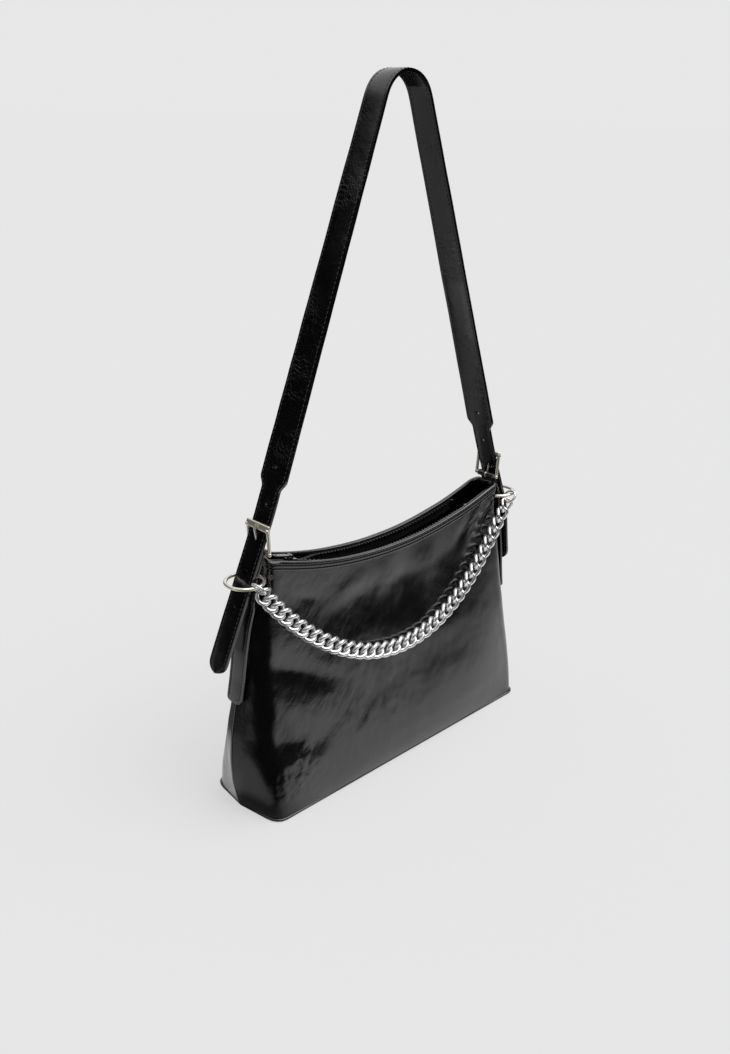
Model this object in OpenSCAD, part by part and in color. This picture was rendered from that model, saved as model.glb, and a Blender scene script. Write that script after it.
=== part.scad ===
// Shoulder bag with a buckled shoulder strap and a chain hung between two rings.
// Lengths are millimetres. +Z is up, the front is -Y, and the origin is the middle of the foot.

/* [Bag body] */
// Width of the bag at its foot
foot_w = 286; // [240:1:330]
// Depth of the bag at its foot
foot_d = 74; // [66:1:84]
// Height at the two ends of the mouth
bag_h = 202; // [190:1:225]
// Width of the mouth
mouth_w = 257; // [240:1:275]
// Depth of the open mouth over both rims
mouth_d = 25; // [24:1:30]
// How far the rims dip at the middle
rim_dip = 22; // [10:1:30]
// How far the side seams stand out beyond the corners
seam_out = 18; // [14:1:20]
// How far the lower front and back bulge out
belly = 6; // [3:0.5:7]
// Thickness of the leather panels
leather_t = 2; // [1.6:0.1:2.4]
// Thickness of the lining
lining_t = 0.8; // [0.6:0.1:1]
// Height of the bound edge along each rim
rim_band_h = 7; // [5:0.5:10]
// Thickness of the bottom panel
bottom_t = 2.8; // [2:0.1:3.6]
// Diameter of the piping in the side and bottom seams
piping_d = 2.2; // [1.6:0.1:2.4]
// Thickness of the stiffener board in the base
board_t = 2; // [1:0.5:3]

/* [Zip] */
// Height of each zip tape
zip_tape_h = 8; // [6:0.5:10]
// Thickness of a zip tape
zip_tape_t = 0.8; // [0.6:0.1:1.2]
// Length of one zip tooth along the zip
zip_tooth_l = 1.5; // [1.3:0.1:2]
// Length of the zip slider
zip_slider_l = 9; // [7:0.5:11]
// Length of the zip puller
zip_puller_l = 17; // [12:1:20]

/* [Strap] */
// Width of the strap at its crown
strap_w = 20; // [18:0.5:24]
// Width of the strap where its legs are widest, above the flex points
strap_leg_w = 26.5; // [24:0.5:28]
// Width of the strap through the buckles
strap_end_w = 18; // [15:0.5:18]
// Thickness of the strap
strap_t = 3; // [2.4:0.1:3.2]
// Height of the strap's top above the ends of the mouth
strap_drop = 322; // [260:1:360]
// Height of the strap's flex points above the ends of the mouth
flex_rise = 32; // [31:0.5:35]
// How far the flex points lie inside the ends of the mouth
flex_inset = 7; // [6:0.5:8]
// Radius of the strap's round crown over its middle line
crown_r = 22.8; // [20:0.1:26]
// Lean of each strap tail from upright in degrees
tail_lean = 23; // [22:0.5:24]
// Length of a strap tail below its flex point
tail_l = 120; // [90:1:130]
// Distance between the holes in a strap end
hole_pitch = 25.4; // [22:0.1:28]
// Diameter of the holes in a strap end
hole_d = 2.6; // [2:0.1:3.2]

/* [Side tabs and buckles] */
// Width of the side tabs
tab_w = 15.5; // [13:0.5:15.5]
// Thickness of the side tabs
tab_t = 2.2; // [1.8:0.1:2.4]
// Height of a tab's lower end above the foot
tab_low = 93; // [70:1:105]
// Width of a buckle frame over its side bars
buckle_w = 24; // [24:0.5:28]
// Length of a buckle frame from heel bar to top bar
buckle_l = 19.5; // [19:0.1:20]
// Diameter of a buckle's heel bar and side bars
buckle_bar_d = 2.6; // [2.2:0.1:2.8]
// Height of a buckle's top bar
top_bar_h = 5; // [4:0.2:5.2]
// Thickness of a buckle's top bar
top_bar_t = 2.2; // [1.8:0.1:2.4]
// Diameter of a buckle prong
prong_d = 2; // [1.6:0.1:2.2]
// Diameter of the small rivets at the corners of the mouth
rivet_d = 4; // [3:0.5:5]

/* [Rings and chain] */
// Outer diameter of the two keeper rings
keeper_d = 30; // [29.8:0.1:30.4]
// Diameter of the wire of the keeper rings
keeper_wire_d = 2.6; // [2.2:0.1:2.8]
// How far the keeper rings lie below the ends of the mouth
keeper_drop = 14.5; // [13:0.5:16]
// How far the chain sags below the keeper rings
chain_sag = 89; // [60:1:100]
// Diameter of the chain's wire
chain_wire_d = 2.6; // [2.2:0.1:2.6]
// Width of the chain over its links
chain_w = 14; // [13:0.5:14.5]
// Wanted distance from link to link
link_pitch = 9.4; // [9:0.1:11]
// Outer diameter of the rings at the ends of the chain
end_ring_d = 12.7; // [12.5:0.1:13]
// Diameter of the wire of the rings at the ends of the chain
end_wire_d = 2.1; // [1.8:0.1:2.2]

/* [Hidden] */

// Clearances, and how far a cut runs past the face that it starts from
fit_gap = 0.3;
close_gap = 0.15;
running_gap = 0.08;
overrun = 1;
$fn = 48;

// Heights in shares of the bag's height, some with the share of a size that is reached there
levels_share = [0, 0.05, 0.12, 0.22, 0.33, 0.43, 0.55, 0.66, 0.76, 0.83, 0.88, 0.92, 0.96, 1];
seam_out_shares = [[0, 0.28], [0.05, 0.52], [0.12, 0.77], [0.22, 0.95], [0.33, 0.98], [0.43, 0.87],
    [0.55, 0.75], [0.66, 0.69], [0.76, 0.57], [0.82, 0.42], [0.87, 0.05], [0.91, -0.18], [1, -0.2]];
belly_shares = [[0, 0], [0.03, 0.5], [0.08, 0.9], [0.16, 1.15], [0.24, 1.05], [0.33, 0.82], [0.43, 0.48],
    [0.55, 0.08], [0.66, -0.25], [0.76, -0.55], [0.83, -0.62], [0.9, -0.34], [1, 0]];
corner_bulge_shares = [[0, 0], [0.12, 0.9], [0.33, 1], [0.55, 0.9], [0.76, 0.4], [1, 0]];
corner_fall_shares = [[0, 0], [0.12, 0.25], [0.33, 0.7], [0.6, 1], [0.85, 0.8], [1, 0]];

// Places along the half outline: on a side, round a corner and across the face
side_shares = [0, 0.35, 0.7];
corner_shares = [0, 0.33, 0.67, 1];
face_shares = [-0.84, -0.66, -0.46, -0.24, 0, 0.24, 0.46, 0.66, 0.84];
corner_rim_share = 0.94;
corner_most_share = 0.45;

// How far the corners stand out at mid height and fall back, and how far they are rounded
corner_bulge = 2.6;
corner_fall = 5;
corner_round = 9;

// Layers of the body
seam_half = piping_d / 2 + close_gap;
shell_t = leather_t + fit_gap + lining_t;
panel_low = bottom_t + close_gap;
lining_low = bottom_t + board_t + fit_gap;
panel_top = rim_band_h + close_gap;

function mix(a, b, t) = a + (b - a) * t;
function smooth(t) = let (c = max(0, min(1, t))) c * c * (3 - 2 * c);
function unit(v) = v / norm(v);
function square_to(v, t) = unit(v - (v * t) * t);
function flat(rows) = [for (r = rows, p = r) p];
function bezier(a, b, c, t) = (1 - t) * (1 - t) * a + 2 * t * (1 - t) * b + t * t * c;

// The body's shape: v is a share of the height, and q a share of the half width. The ends are
// upright near the mouth, where the buckles and rings stand.
upright_share = 0.92;
function rim_z(q) = bag_h - rim_dip * (1 - q * q);
function half_w(v) = mix(foot_w, mouth_w, min(1, v / upright_share)) / 2;
function corner_x(v) = half_w(v) + corner_bulge * lookup(v, corner_bulge_shares);
function seam_x(v) = half_w(v) + seam_out * lookup(v, seam_out_shares);
function face_y(v, q) = mix(foot_d, mouth_d, v) / 2 + belly * lookup(v, belly_shares) * (1 - pow(q, 4))
    - corner_fall * lookup(v, corner_fall_shares) * pow(q, 4);

// The front half of the outline at v, set in by inset
function seam_point(v, inset) = [seam_x(v) - inset, -seam_half];
function corner_point(v, inset) = [corner_x(v) - inset, -face_y(v, 1) + inset];
function face_point(v, q, inset) = [q * (corner_x(v) - inset - corner_round), -face_y(v, q) + inset];
function side_end(v, inset) =
    let (corner = corner_point(v, inset), side = seam_point(v, inset) - corner)
    corner + side * min(corner_round / norm(side), corner_most_share);
function side_curve(v, t, inset) = mix(seam_point(v, inset), side_end(v, inset), t);
function corner_curve(v, t, inset) =
    bezier(side_end(v, inset), corner_point(v, inset), face_point(v, 1, inset), t);

// The upright lines of the shell from seam to seam: kind, place, side and share of the rim
right_columns = concat(
    [for (t = side_shares) ["side", t, 1, 1]],
    [for (t = corner_shares) ["corner", t, 1, mix(1, corner_rim_share, t)]]);
columns = concat(
    [for (c = right_columns) [c[0], c[1], -1, c[3]]],
    [for (q = face_shares) ["face", q, 1, corner_rim_share * q]],
    [for (i = [len(right_columns) - 1:-1:0]) right_columns[i]]);

function column_plan(c, v, inset) =
    let (p = c[0] == "side" ? side_curve(v, c[1], inset)
        : c[0] == "corner" ? corner_curve(v, c[1], inset) : face_point(v, c[1], inset))
    [c[2] * p.x, p.y];
function column_point(c, z, inset) =
    let (p = column_plan(c, z / rim_z(c[3]), inset))
    [p.x, p.y, z];
function foot_outline(inset) =
    let (front = [for (c = columns) column_plan(c, 0, inset)])
    concat(front, [for (i = [len(front) - 1:-1:0]) [front[i].x, -front[i].y]]);

// Rows of points up the wall from the height low, and down the rim band from the rim
function wall(shares, inset, low) =
    [for (t = shares) [for (c = columns) column_point(c, mix(low, rim_z(c[3]) - panel_top, t), inset)]];
function band(inset) =
    [for (drop = [rim_band_h, rim_band_h / 2, 0])
        [for (c = columns) column_point(c, rim_z(c[3]) - drop, inset)]];

// Faces of a sheet with thickness: two skins of points, joined along their edges
function quad(a, b, c, d, turned = false) = turned ? [[a, c, b], [a, d, c]] : [[a, b, c], [a, c, d]];
// The second half of a round skin is split along the other diagonals, as a mirrored sheet is
function skin(rows, cols, base, turned, round) =
    [for (i = [0:rows - 2], j = [0:cols - (round ? 1 : 2)])
        let (a = base + i * cols, b = a + cols, k = (j + 1) % cols)
        each round && 2 * j >= cols ? quad(b + j, b + k, a + k, a + j, turned)
            : quad(a + j, b + j, b + k, a + k, turned)];
function top_edge(rows, cols, round) =
    [for (j = [0:cols - (round ? 1 : 2)])
        let (a = (rows - 1) * cols, n = rows * cols, k = (j + 1) % cols)
        each quad(a + j, n + a + j, n + a + k, a + k)];

module sheet(outer, inner) {
    rows = len(outer);
    cols = len(outer[0]);
    n = rows * cols;
    last = cols - 1;
    polyhedron(
        points = concat(flat(outer), flat(inner)),
        faces = concat(
            skin(rows, cols, 0, false, false),
            skin(rows, cols, n, true, false),
            top_edge(rows, cols, false),
            [for (j = [0:cols - 2]) each quad(j, j + 1, n + j + 1, n + j)],
            [for (i = [0:rows - 2]) let (a = i * cols, b = a + cols)
                each quad(a, n + a, n + b, b)],
            [for (i = [0:rows - 2]) let (a = i * cols + last, b = a + cols)
                each quad(a, b, n + b, n + a)]));
}

// A bowl: both skins go all the way round, and each has a floor that fans out from its middle
module bowl(outer, inner) {
    rows = len(outer);
    cols = len(outer[0]);
    n = rows * cols;
    middles = [[0, 0, outer[0][0].z], [0, 0, inner[0][0].z]];
    polyhedron(
        points = concat(flat(outer), flat(inner), middles),
        faces = concat(
            skin(rows, cols, 0, false, true),
            skin(rows, cols, n, true, true),
            top_edge(rows, cols, true),
            [for (j = [0:cols - 1]) [2 * n, j, (j + 1) % cols]],
            [for (j = [0:cols - 1]) [2 * n + 1, n + (j + 1) % cols, n + j]]));
}

// A tube through the centres, closed in a ring or with two flat ends. The outs point away from it.
module tube(centres, outs, r, sides, closed) {
    n = len(centres);
    function next(i) = closed ? (i + 1) % n : min(n - 1, i + 1);
    function before(i) = closed ? (i + n - 1) % n : max(0, i - 1);
    points = [for (i = [0:n - 1])
        let (t = unit(centres[next(i)] - centres[before(i)]), a = square_to(outs[i], t), b = cross(t, a))
        for (k = [0:sides - 1])
            let (turn = 360 * (k + 0.5) / sides)
            centres[i] + r * (cos(turn) * a + sin(turn) * b)];
    walls = [for (i = [0:n - (closed ? 1 : 2)], k = [0:sides - 1])
        let (a = i * sides, b = next(i) * sides, m = (k + 1) % sides)
        each quad(a + k, b + k, b + m, a + m)];
    ends = closed ? [] : [[for (k = [0:sides - 1]) k], [for (k = [sides - 1:-1:0]) (n - 1) * sides + k]];
    polyhedron(points = points, faces = concat(walls, ends));
}

// A round bar from a to b
module bar(a, b, d) {
    run = b - a;
    translate(a)
        rotate([0, acos(run.z / norm(run)), atan2(run.y, run.x)])
        cylinder(d = d, h = norm(run));
}

// A round piece centred on the Y axis, and its children on both sides of the middle plane
module across_y(r, l) {
    translate([0, l / 2, 0]) rotate([90, 0, 0]) cylinder(r = r, h = l);
}

module front_and_back() {
    children();
    mirror([0, 1, 0]) children();
}

// The children are drawn for the right side of the bag: -1 puts them on the left
module on_side(side) {
    mirror([side < 0 ? 1 : 0, 0, 0]) children();
}

// Body

module front_panel() {
    color("black")
        sheet(wall(levels_share, 0, panel_low), wall(levels_share, leather_t, panel_low));
}

module back_panel() {
    mirror([0, 1, 0]) front_panel();
}

module bottom_panel() {
    color("black")
        linear_extrude(bottom_t)
        polygon(foot_outline(seam_half));
}

module base_board() {
    color("dimgray")
        translate([0, 0, bottom_t])
        linear_extrude(board_t)
        polygon(foot_outline(shell_t + fit_gap));
}

// The lining's rows lie beside the panel's own, but its lowest stands on the board
module lining() {
    upper_share = [for (i = [1:len(levels_share) - 1]) levels_share[i]];
    inset = leather_t + fit_gap;
    function around(row) = concat(row, [for (i = [len(row) - 1:-1:0]) [row[i].x, -row[i].y, row[i].z]]);
    function between(a, b, z) = [for (i = [0:len(a) - 1]) mix(a[i], b[i], (z - a[i].z) / (b[i].z - a[i].z))];
    function lowest(ends, z) = between(ends[0], ends[1], z);
    function rows(inset, low) = concat(
        [around(lowest(wall([levels_share[0], levels_share[1]], inset, panel_low), low))],
        [for (row = wall(upper_share, inset, panel_low)) around(row)]);
    color("darkslategray")
        bowl(rows(inset, lining_low), rows(inset + lining_t, lining_low + lining_t));
}

// The bound edge stands a little proud of the panel and ends flush with the lining
module front_rim_band() {
    proud = leather_t / 3;
    color("black")
        sheet(band(-proud), band(shell_t));
}

module back_rim_band() {
    mirror([0, 1, 0]) front_rim_band();
}

// The side piping starts above the bottom piping, runs beside the panel's rows and ends at its top
module seam_piping(side) {
    low_share = 0.007;
    levels = [for (t = levels_share) mix(panel_low, bag_h - panel_top, max(low_share, t))];
    centres = [for (z = levels) [side * (seam_x(z / bag_h) - leather_t / 2), 0, z]];
    color("black")
        tube(centres, [for (z = levels) [0, 1, 0]], piping_d / 2, 8, false);
}

module left_seam_piping() {
    seam_piping(-1);
}

module right_seam_piping() {
    seam_piping(1);
}

module bottom_seam_piping() {
    ring = foot_outline(0);
    centres = [for (p = ring) [p.x, p.y, bottom_t / 2]];
    color("black")
        tube(centres, [for (p = ring) [p.x, p.y, 0]], piping_d / 2, 8, true);
}

// Zip: open, with its slider parked near the left end of the mouth

zip_left_share = -0.93;
zip_right_share = 0.7;
zip_closed_share = -0.7;
zip_open_share = -0.5;
zip_slider_share = -0.77;
zip_left_x = zip_left_share * mouth_w / 2;
zip_right_x = zip_right_share * mouth_w / 2;
zip_slider_x = zip_slider_share * mouth_w / 2;
zip_top_drop = 2;
zip_steps = 26;
tooth_out = 1.8;
tooth_h = 2;
tape_closed_y = tooth_out / 2 + close_gap;
tape_open_y = mouth_d / 2 - shell_t - fit_gap - zip_tape_t;

// Inner face and upper edge of the front tape at x
function tape_y(x) = mix(tape_closed_y, tape_open_y,
    smooth((2 * x / mouth_w - zip_closed_share) / (zip_open_share - zip_closed_share)));
function tape_z(x) = rim_z(2 * x / mouth_w) - zip_top_drop;
tape_xs = [for (i = [0:zip_steps]) mix(zip_left_x, zip_right_x, i / zip_steps)];
tape_line = [for (x = tape_xs) [x, tape_y(x)]];

module front_zip_tape() {
    function face(out) =
        [for (drop = [zip_tape_h, 0]) [for (x = tape_xs) [x, -tape_y(x) - out, tape_z(x) - drop]]];
    color("dimgray")
        sheet(face(zip_tape_t), face(0));
}

module back_zip_tape() {
    mirror([0, 1, 0]) front_zip_tape();
}

// One row of teeth. The other row stands half a pitch along, so that the two mesh.
tooth_pitch = 2 * (zip_tooth_l + close_gap);
tooth_count = floor((zip_right_x - zip_left_x) / tooth_pitch) - 2;

module zip_teeth(shift) {
    for (i = [0:tooth_count - 1]) {
        x = zip_left_x + tooth_pitch * (i + 0.5 + shift);
        end_x = x + zip_tooth_l;
        near = min(lookup(x, tape_line), lookup(end_x, tape_line)) - running_gap / 2;
        translate([x, -near, min(tape_z(x), tape_z(end_x)) - tooth_h])
            cube([zip_tooth_l, tooth_out, tooth_h]);
    }
}

module front_zip_teeth() {
    color("dimgray") zip_teeth(0);
}

module back_zip_teeth() {
    color("dimgray") mirror([0, 1, 0]) zip_teeth(0.5);
}

// A stop closes the right end of each row of teeth
module zip_stops() {
    color("silver")
        front_and_back()
        translate([zip_right_x, -tape_open_y - zip_tape_t, tape_z(zip_right_x) - 2 * tooth_h])
        cube([2 * zip_tooth_l, zip_tape_t + tooth_out, 2 * tooth_h]);
}

slider_plate_t = 1.2;
slider_ear_t = 0.8;
puller_w = 4.5;
puller_t = 1.2;
puller_eye_w = 2.8;
puller_eye_r = 1.3;
puller_pin_r = 0.6;
slider_half_w = tape_closed_y + zip_tape_t + fit_gap + slider_plate_t;
slider_cheek_h = 2 * tooth_h;
pin_rise = fit_gap + slider_plate_t + puller_eye_r + fit_gap;
zip_slope = atan(8 * rim_dip * zip_slider_x / (mouth_w * mouth_w));

// The slider's own frame: x along the zip, and z up from the edge of the teeth
module on_zip() {
    translate([zip_slider_x, 0, tape_z(zip_slider_x)])
        rotate([0, -zip_slope, 0])
        children();
}

module zip_slider() {
    ear_y = puller_eye_w / 2 + close_gap;
    color("silver")
        on_zip()
        union() {
            translate([-zip_slider_l / 2, -slider_half_w, fit_gap])
                cube([zip_slider_l, 2 * slider_half_w, slider_plate_t]);
            front_and_back()
                translate([-zip_slider_l / 2, slider_half_w - slider_plate_t, fit_gap - slider_cheek_h])
                cube([zip_slider_l, slider_plate_t, slider_cheek_h + slider_plate_t / 2]);
            front_and_back() {
                translate([-puller_eye_r, ear_y, fit_gap])
                    cube([2 * puller_eye_r, slider_ear_t, pin_rise - fit_gap]);
                translate([0, ear_y + slider_ear_t / 2, pin_rise])
                    across_y(puller_eye_r, slider_ear_t);
            }
            translate([0, 0, pin_rise])
                across_y(puller_pin_r, 2 * ear_y + slider_ear_t);
        }
}

module zip_puller() {
    end_r = puller_w / 2;
    end_x = end_r - zip_puller_l;
    neck_x = -puller_eye_r - puller_w / 2;
    color("silver")
        on_zip()
        translate([0, 0, pin_rise])
        difference() {
            union() {
                across_y(puller_eye_r, puller_eye_w);
                translate([neck_x, -puller_eye_w / 2, -puller_t / 2])
                    cube([-neck_x, puller_eye_w, puller_t]);
                translate([end_x, -end_r, -puller_t / 2])
                    cube([neck_x - end_x, puller_w, puller_t]);
                translate([end_x, 0, -puller_t / 2])
                    cylinder(r = end_r, h = puller_t);
            }
            across_y(puller_pin_r + running_gap, 2 * puller_eye_w);
            translate([end_x, 0, -puller_t])
                cylinder(r = end_r / 2, h = 2 * puller_t);
        }
}

// Buckles: each stands on its heel bar over the end of the mouth

heel_inset = 1.7;
heel_rise = 4;
prong_hub_w = 2.6;
bar_r = buckle_bar_d / 2;
heel_x = mouth_w / 2 - heel_inset;
heel_z = bag_h + heel_rise;
heel = [heel_x, 0, heel_z];
flex_x = mouth_w / 2 - flex_inset;
flex_z = bag_h + flex_rise;
frame_half = buckle_w / 2 - bar_r;
lean_out = [cos(tail_lean), 0, sin(tail_lean)];
lean_up = [-sin(tail_lean), 0, cos(tail_lean)];

// The middle of the strap below its flex point, and the top bar just outside it
function tail_x(z) = flex_x + (flex_z - z) * tan(tail_lean);
top_bar_z = heel_z + buckle_l;
top_bar = [tail_x(top_bar_z) + (strap_t / 2 + fit_gap + top_bar_t / 2) / cos(tail_lean), 0, top_bar_z];
top_bar_round = (top_bar_h - top_bar_t) / 2;
prong_clear = (top_bar_t + prong_d) / 2 + close_gap;
prong_hub_r = bar_r + close_gap + prong_d / 2;
prong_knee = top_bar + lean_out * prong_clear - lean_up * (top_bar_h / 2 - close_gap);
prong_tip = top_bar + lean_out * prong_clear + lean_up * top_bar_round;

module buckle_frame(side) {
    arm = [0, frame_half, 0];
    ball_d = buckle_bar_d + 2 * close_gap;
    color("lightgray")
        on_side(side)
        union() {
            bar(heel - arm, heel + arm, buckle_bar_d);
            for (s = [-1, 1]) {
                bar(heel + s * arm, top_bar + s * arm, buckle_bar_d);
                translate(heel + s * arm) sphere(d = ball_d);
                translate(top_bar + s * arm) sphere(d = ball_d);
            }
            translate(top_bar + arm)
                rotate([90, -tail_lean, 0])
                linear_extrude(2 * frame_half)
                union() {
                    for (s = [-1, 1])
                        translate([0, s * top_bar_round])
                        circle(d = top_bar_t);
                    square([top_bar_t, 2 * top_bar_round], center = true);
                }
        }
}

module left_buckle_frame() {
    buckle_frame(-1);
}

module right_buckle_frame() {
    buckle_frame(1);
}

module prong(side) {
    ball_d = prong_d + close_gap;
    color("lightgray")
        on_side(side)
        difference() {
            union() {
                translate(heel) across_y(prong_hub_r, prong_hub_w);
                bar(heel, prong_knee, prong_d);
                bar(prong_knee, prong_tip, prong_d);
                translate(prong_knee) sphere(d = ball_d);
                translate(prong_tip) sphere(d = ball_d);
            }
            translate(heel) across_y(bar_r + running_gap, 2 * prong_hub_w);
        }
}

module left_prong() {
    prong(-1);
}

module right_prong() {
    prong(1);
}

// Side tabs: each goes round the heel bar, through the keeper ring and down the side seam

tab_shares = [0.55, 0.66, 0.76, 0.82];
tab_stand_off = 7.4;
loop_wall_share = 0.8;
seam_clear = fit_gap + close_gap;
loop_r = bar_r + running_gap + tab_t * loop_wall_share;
keeper_z = bag_h - keeper_drop;

// The tab's inner face from its low end up to the loop, as x and z
tab_levels = concat([tab_low / bag_h], tab_shares);
tab_inner = concat(
    [for (v = tab_levels) [seam_x(v) + seam_clear, v * bag_h]],
    [[mouth_w / 2 + tab_stand_off, keeper_z], [heel_x + loop_r - tab_t, heel_z]]);
tab_end = len(tab_inner) - 1;
function tab_normal(i) =
    let (run = unit(tab_inner[min(tab_end, i + 1)] - tab_inner[max(0, i - 1)]))
    [run.y, -run.x];
tab_outer = [for (i = [0:tab_end - 1]) tab_inner[i] + tab_t * tab_normal(i)];

module tab(side) {
    slot_w = prong_hub_w + 2 * fit_gap;
    end_round = tab_w / 4;
    edge = concat(
        [for (i = [0:tab_end]) tab_inner[i]],
        [[heel_x + loop_r, heel_z]],
        [for (i = [tab_end - 1:-1:0]) tab_outer[i]]);
    color("black")
        on_side(side)
        difference() {
            union() {
                translate([0, tab_w / 2, 0])
                    rotate([90, 0, 0])
                    linear_extrude(tab_w)
                    polygon(edge);
                translate(heel) across_y(loop_r, tab_w);
            }
            translate(heel) across_y(bar_r + running_gap, 2 * tab_w);
            translate([heel_x - 2 * loop_r, -slot_w / 2, heel_z - prong_hub_r - fit_gap])
                cube([4 * loop_r, slot_w, 4 * loop_r]);
            front_and_back()
                translate([0, tab_w / 2 - end_round, tab_low - overrun])
                difference() {
                    cube([mouth_w, tab_w, end_round + overrun]);
                    translate([0, 0, end_round + overrun])
                        rotate([0, 90, 0])
                        cylinder(r = end_round, h = mouth_w);
                }
        }
}

module left_tab() {
    tab(-1);
}

module right_tab() {
    tab(1);
}

// A rivet holds the layers together at each corner of the mouth, its cap on a wider washer
rivet_level_share = 0.935;
rivet_turn = 50;

module mouth_rivets() {
    seat = corner_curve(rivet_level_share, 0.5, -close_gap / 2);
    washer_t = rivet_d / 8;
    color("lightgray")
        for (side = [-1, 1])
            on_side(side)
            front_and_back()
            translate([seat.x, seat.y, rivet_level_share * bag_h])
            rotate([0, 90, -rivet_turn])
            union() {
                cylinder(d = rivet_d, h = washer_t);
                cylinder(d = rivet_d - 2 * washer_t, h = 2 * washer_t);
            }
}

// Strap: each end is its own piece up to the flex point, where it laps the arch

lap_t = strap_t / 2 - close_gap;
lap_r = strap_end_w / 2;

// Where the prong goes through the middle of the strap, as a length below the flex point
prong_slope = (prong_knee.x - heel_x) / (prong_knee.z - heel_z);
pierce_z = heel_z + (tail_x(heel_z) - heel_x) / (tan(tail_lean) + prong_slope);
pierce_l = (flex_z - pierce_z) / cos(tail_lean);

// A hole square through the strap at the length l above the flex point
module strap_hole(l, lean) {
    translate([flex_x, 0, flex_z])
        rotate([0, -lean, 0])
        translate([-2 * strap_t, 0, l])
        rotate([0, 90, 0])
        cylinder(d = hole_d, h = 4 * strap_t);
}

module strap_end(side) {
    color("black")
        on_side(side)
        difference() {
            union() {
                difference() {
                    translate([flex_x, 0, flex_z])
                        rotate([0, -tail_lean, 0])
                        translate([-strap_t / 2, 0, 0])
                        rotate([90, 0, 90])
                        linear_extrude(strap_t)
                        union() {
                            translate([-lap_r, lap_r - tail_l])
                                square([strap_end_w, tail_l]);
                            translate([0, lap_r - tail_l])
                                circle(r = lap_r);
                        }
                    translate([flex_x + close_gap - mouth_w, -strap_w, 0])
                        cube([mouth_w, 2 * strap_w, bag_h + strap_drop]);
                }
                translate([flex_x + close_gap, 0, flex_z])
                    rotate([0, 90, 0])
                    cylinder(r = lap_r, h = lap_t);
            }
            bar(heel, prong_knee, prong_d + 2 * fit_gap);
            for (k = [-2, -1, 1])
                strap_hole(k * hole_pitch - pierce_l, tail_lean);
        }
}

module left_strap_end() {
    strap_end(-1);
}

module right_strap_end() {
    strap_end(1);
}

// The crown of the arch is round, and each leg runs straight down from it to its flex point
strap_top_z = bag_h + strap_drop;
crown_z = strap_top_z - strap_t / 2 - crown_r;
crown_run = [flex_x, crown_z - flex_z];
leg_lean = atan(crown_run.x / crown_run.y) - asin(crown_r / norm(crown_run));
crown_steps = 14;
shoulder_rise = 15.5;
shoulder_l = 6;

// Half of the arch in x and z, from the top down, at the distance d outside its middle line
function arch_half(d) = concat(
    [for (i = [0:crown_steps])
        let (a = mix(90, leg_lean, i / crown_steps))
        [(crown_r + d) * cos(a), crown_z + (crown_r + d) * sin(a)]],
    [[flex_x + d / cos(leg_lean), flex_z]]);
function turned_back(points) = [for (i = [len(points) - 1:-1:0]) points[i]];
function left_of(points) = [for (p = points) [-p.x, p.y]];

module strap_arch() {
    outer = arch_half(strap_t / 2);
    inner = arch_half(-strap_t / 2);
    profile = concat(left_of(turned_back(outer)), outer, turned_back(inner), left_of(inner));
    right_edge = [[lap_r, flex_z], [lap_r, flex_z + shoulder_rise],
        [strap_leg_w / 2, flex_z + shoulder_rise + shoulder_l], [strap_w / 2, strap_top_z + overrun]];
    color("black")
        difference() {
            union() {
                intersection() {
                    translate([0, strap_w, 0])
                        rotate([90, 0, 0])
                        linear_extrude(2 * strap_w)
                        polygon(profile);
                    translate([close_gap - flex_x, 0, 0])
                        rotate([90, 0, 90])
                        linear_extrude(2 * (flex_x - close_gap))
                        polygon(concat(right_edge, left_of(turned_back(right_edge))));
                }
                for (side = [-1, 1])
                    on_side(side)
                    translate([flex_x - close_gap - lap_t, 0, flex_z])
                    rotate([0, 90, 0])
                    cylinder(r = lap_r, h = lap_t);
            }
            for (side = [-1, 1])
                on_side(side)
                for (k = [1, 2])
                    strap_hole(k * hole_pitch - pierce_l, leg_lean);
        }
}

// Keeper rings: the chain pulls each a little forward round the tab and the tail

keeper_out = 13.7;
keeper_forward = 1.9;
keeper_x = mouth_w / 2 + keeper_out;
keeper_r = (keeper_d - keeper_wire_d) / 2;

module torus(r, wire_d) {
    rotate_extrude()
        translate([r, 0])
        circle(d = wire_d);
}

module left_keeper_ring() {
    color("lightgray")
        translate([-keeper_x, -keeper_forward, keeper_z])
        torus(keeper_r, keeper_wire_d);
}

module right_keeper_ring() {
    mirror([1, 0, 0]) left_keeper_ring();
}

// Chain: a catenary in front view, lying against the front panel and drawn back to the rings

link_turn = 40;
link_half_w = (chain_w - chain_wire_d) / 2;
link_half_t = link_half_w * sin(45) * sin(link_turn * cos(45)) + chain_wire_d / 2;
chain_end_y = -keeper_forward - keeper_r - fit_gap - running_gap;
leave_share = 0.86;

function cosh(x) = (exp(x) + exp(-x)) / 2;

// The catenary's own length is halved in on between low and high
function catenary(low, high, steps) =
    let (a = (low + high) / 2, sag = a * (cosh(keeper_x / a) - 1))
    steps == 0 ? a : sag > chain_sag ? catenary(a, high, steps - 1) : catenary(low, a, steps - 1);
chain_a = catenary(keeper_x / 10, keeper_x * 10, 40);

function chain_point(x) =
    let (z = keeper_z - chain_sag + chain_a * (cosh(x / chain_a) - 1),
        v = min(1, z / rim_z(min(1, 2 * abs(x) / mouth_w))),
        lying_y = -face_y(v, 0) - link_half_t - 2 * fit_gap,
        back = smooth((abs(x) / keeper_x - leave_share) / (1 - leave_share)))
    [x, mix(lying_y, chain_end_y, back), z];

// The length run along the chain at each of its steps
chain_steps = 160;
chain_path = [for (i = [0:chain_steps]) chain_point(keeper_x * (2 * i / chain_steps - 1))];
function runs(i, l) =
    i == chain_steps ? [l] : concat([l], runs(i + 1, l + norm(chain_path[i + 1] - chain_path[i])));
chain_runs = runs(0, 0);
chain_l = chain_runs[chain_steps];
chain_table = [for (i = [0:chain_steps]) [chain_runs[i], chain_path[i].x]];
function chain_at(l) = chain_point(lookup(l, chain_table));

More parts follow.
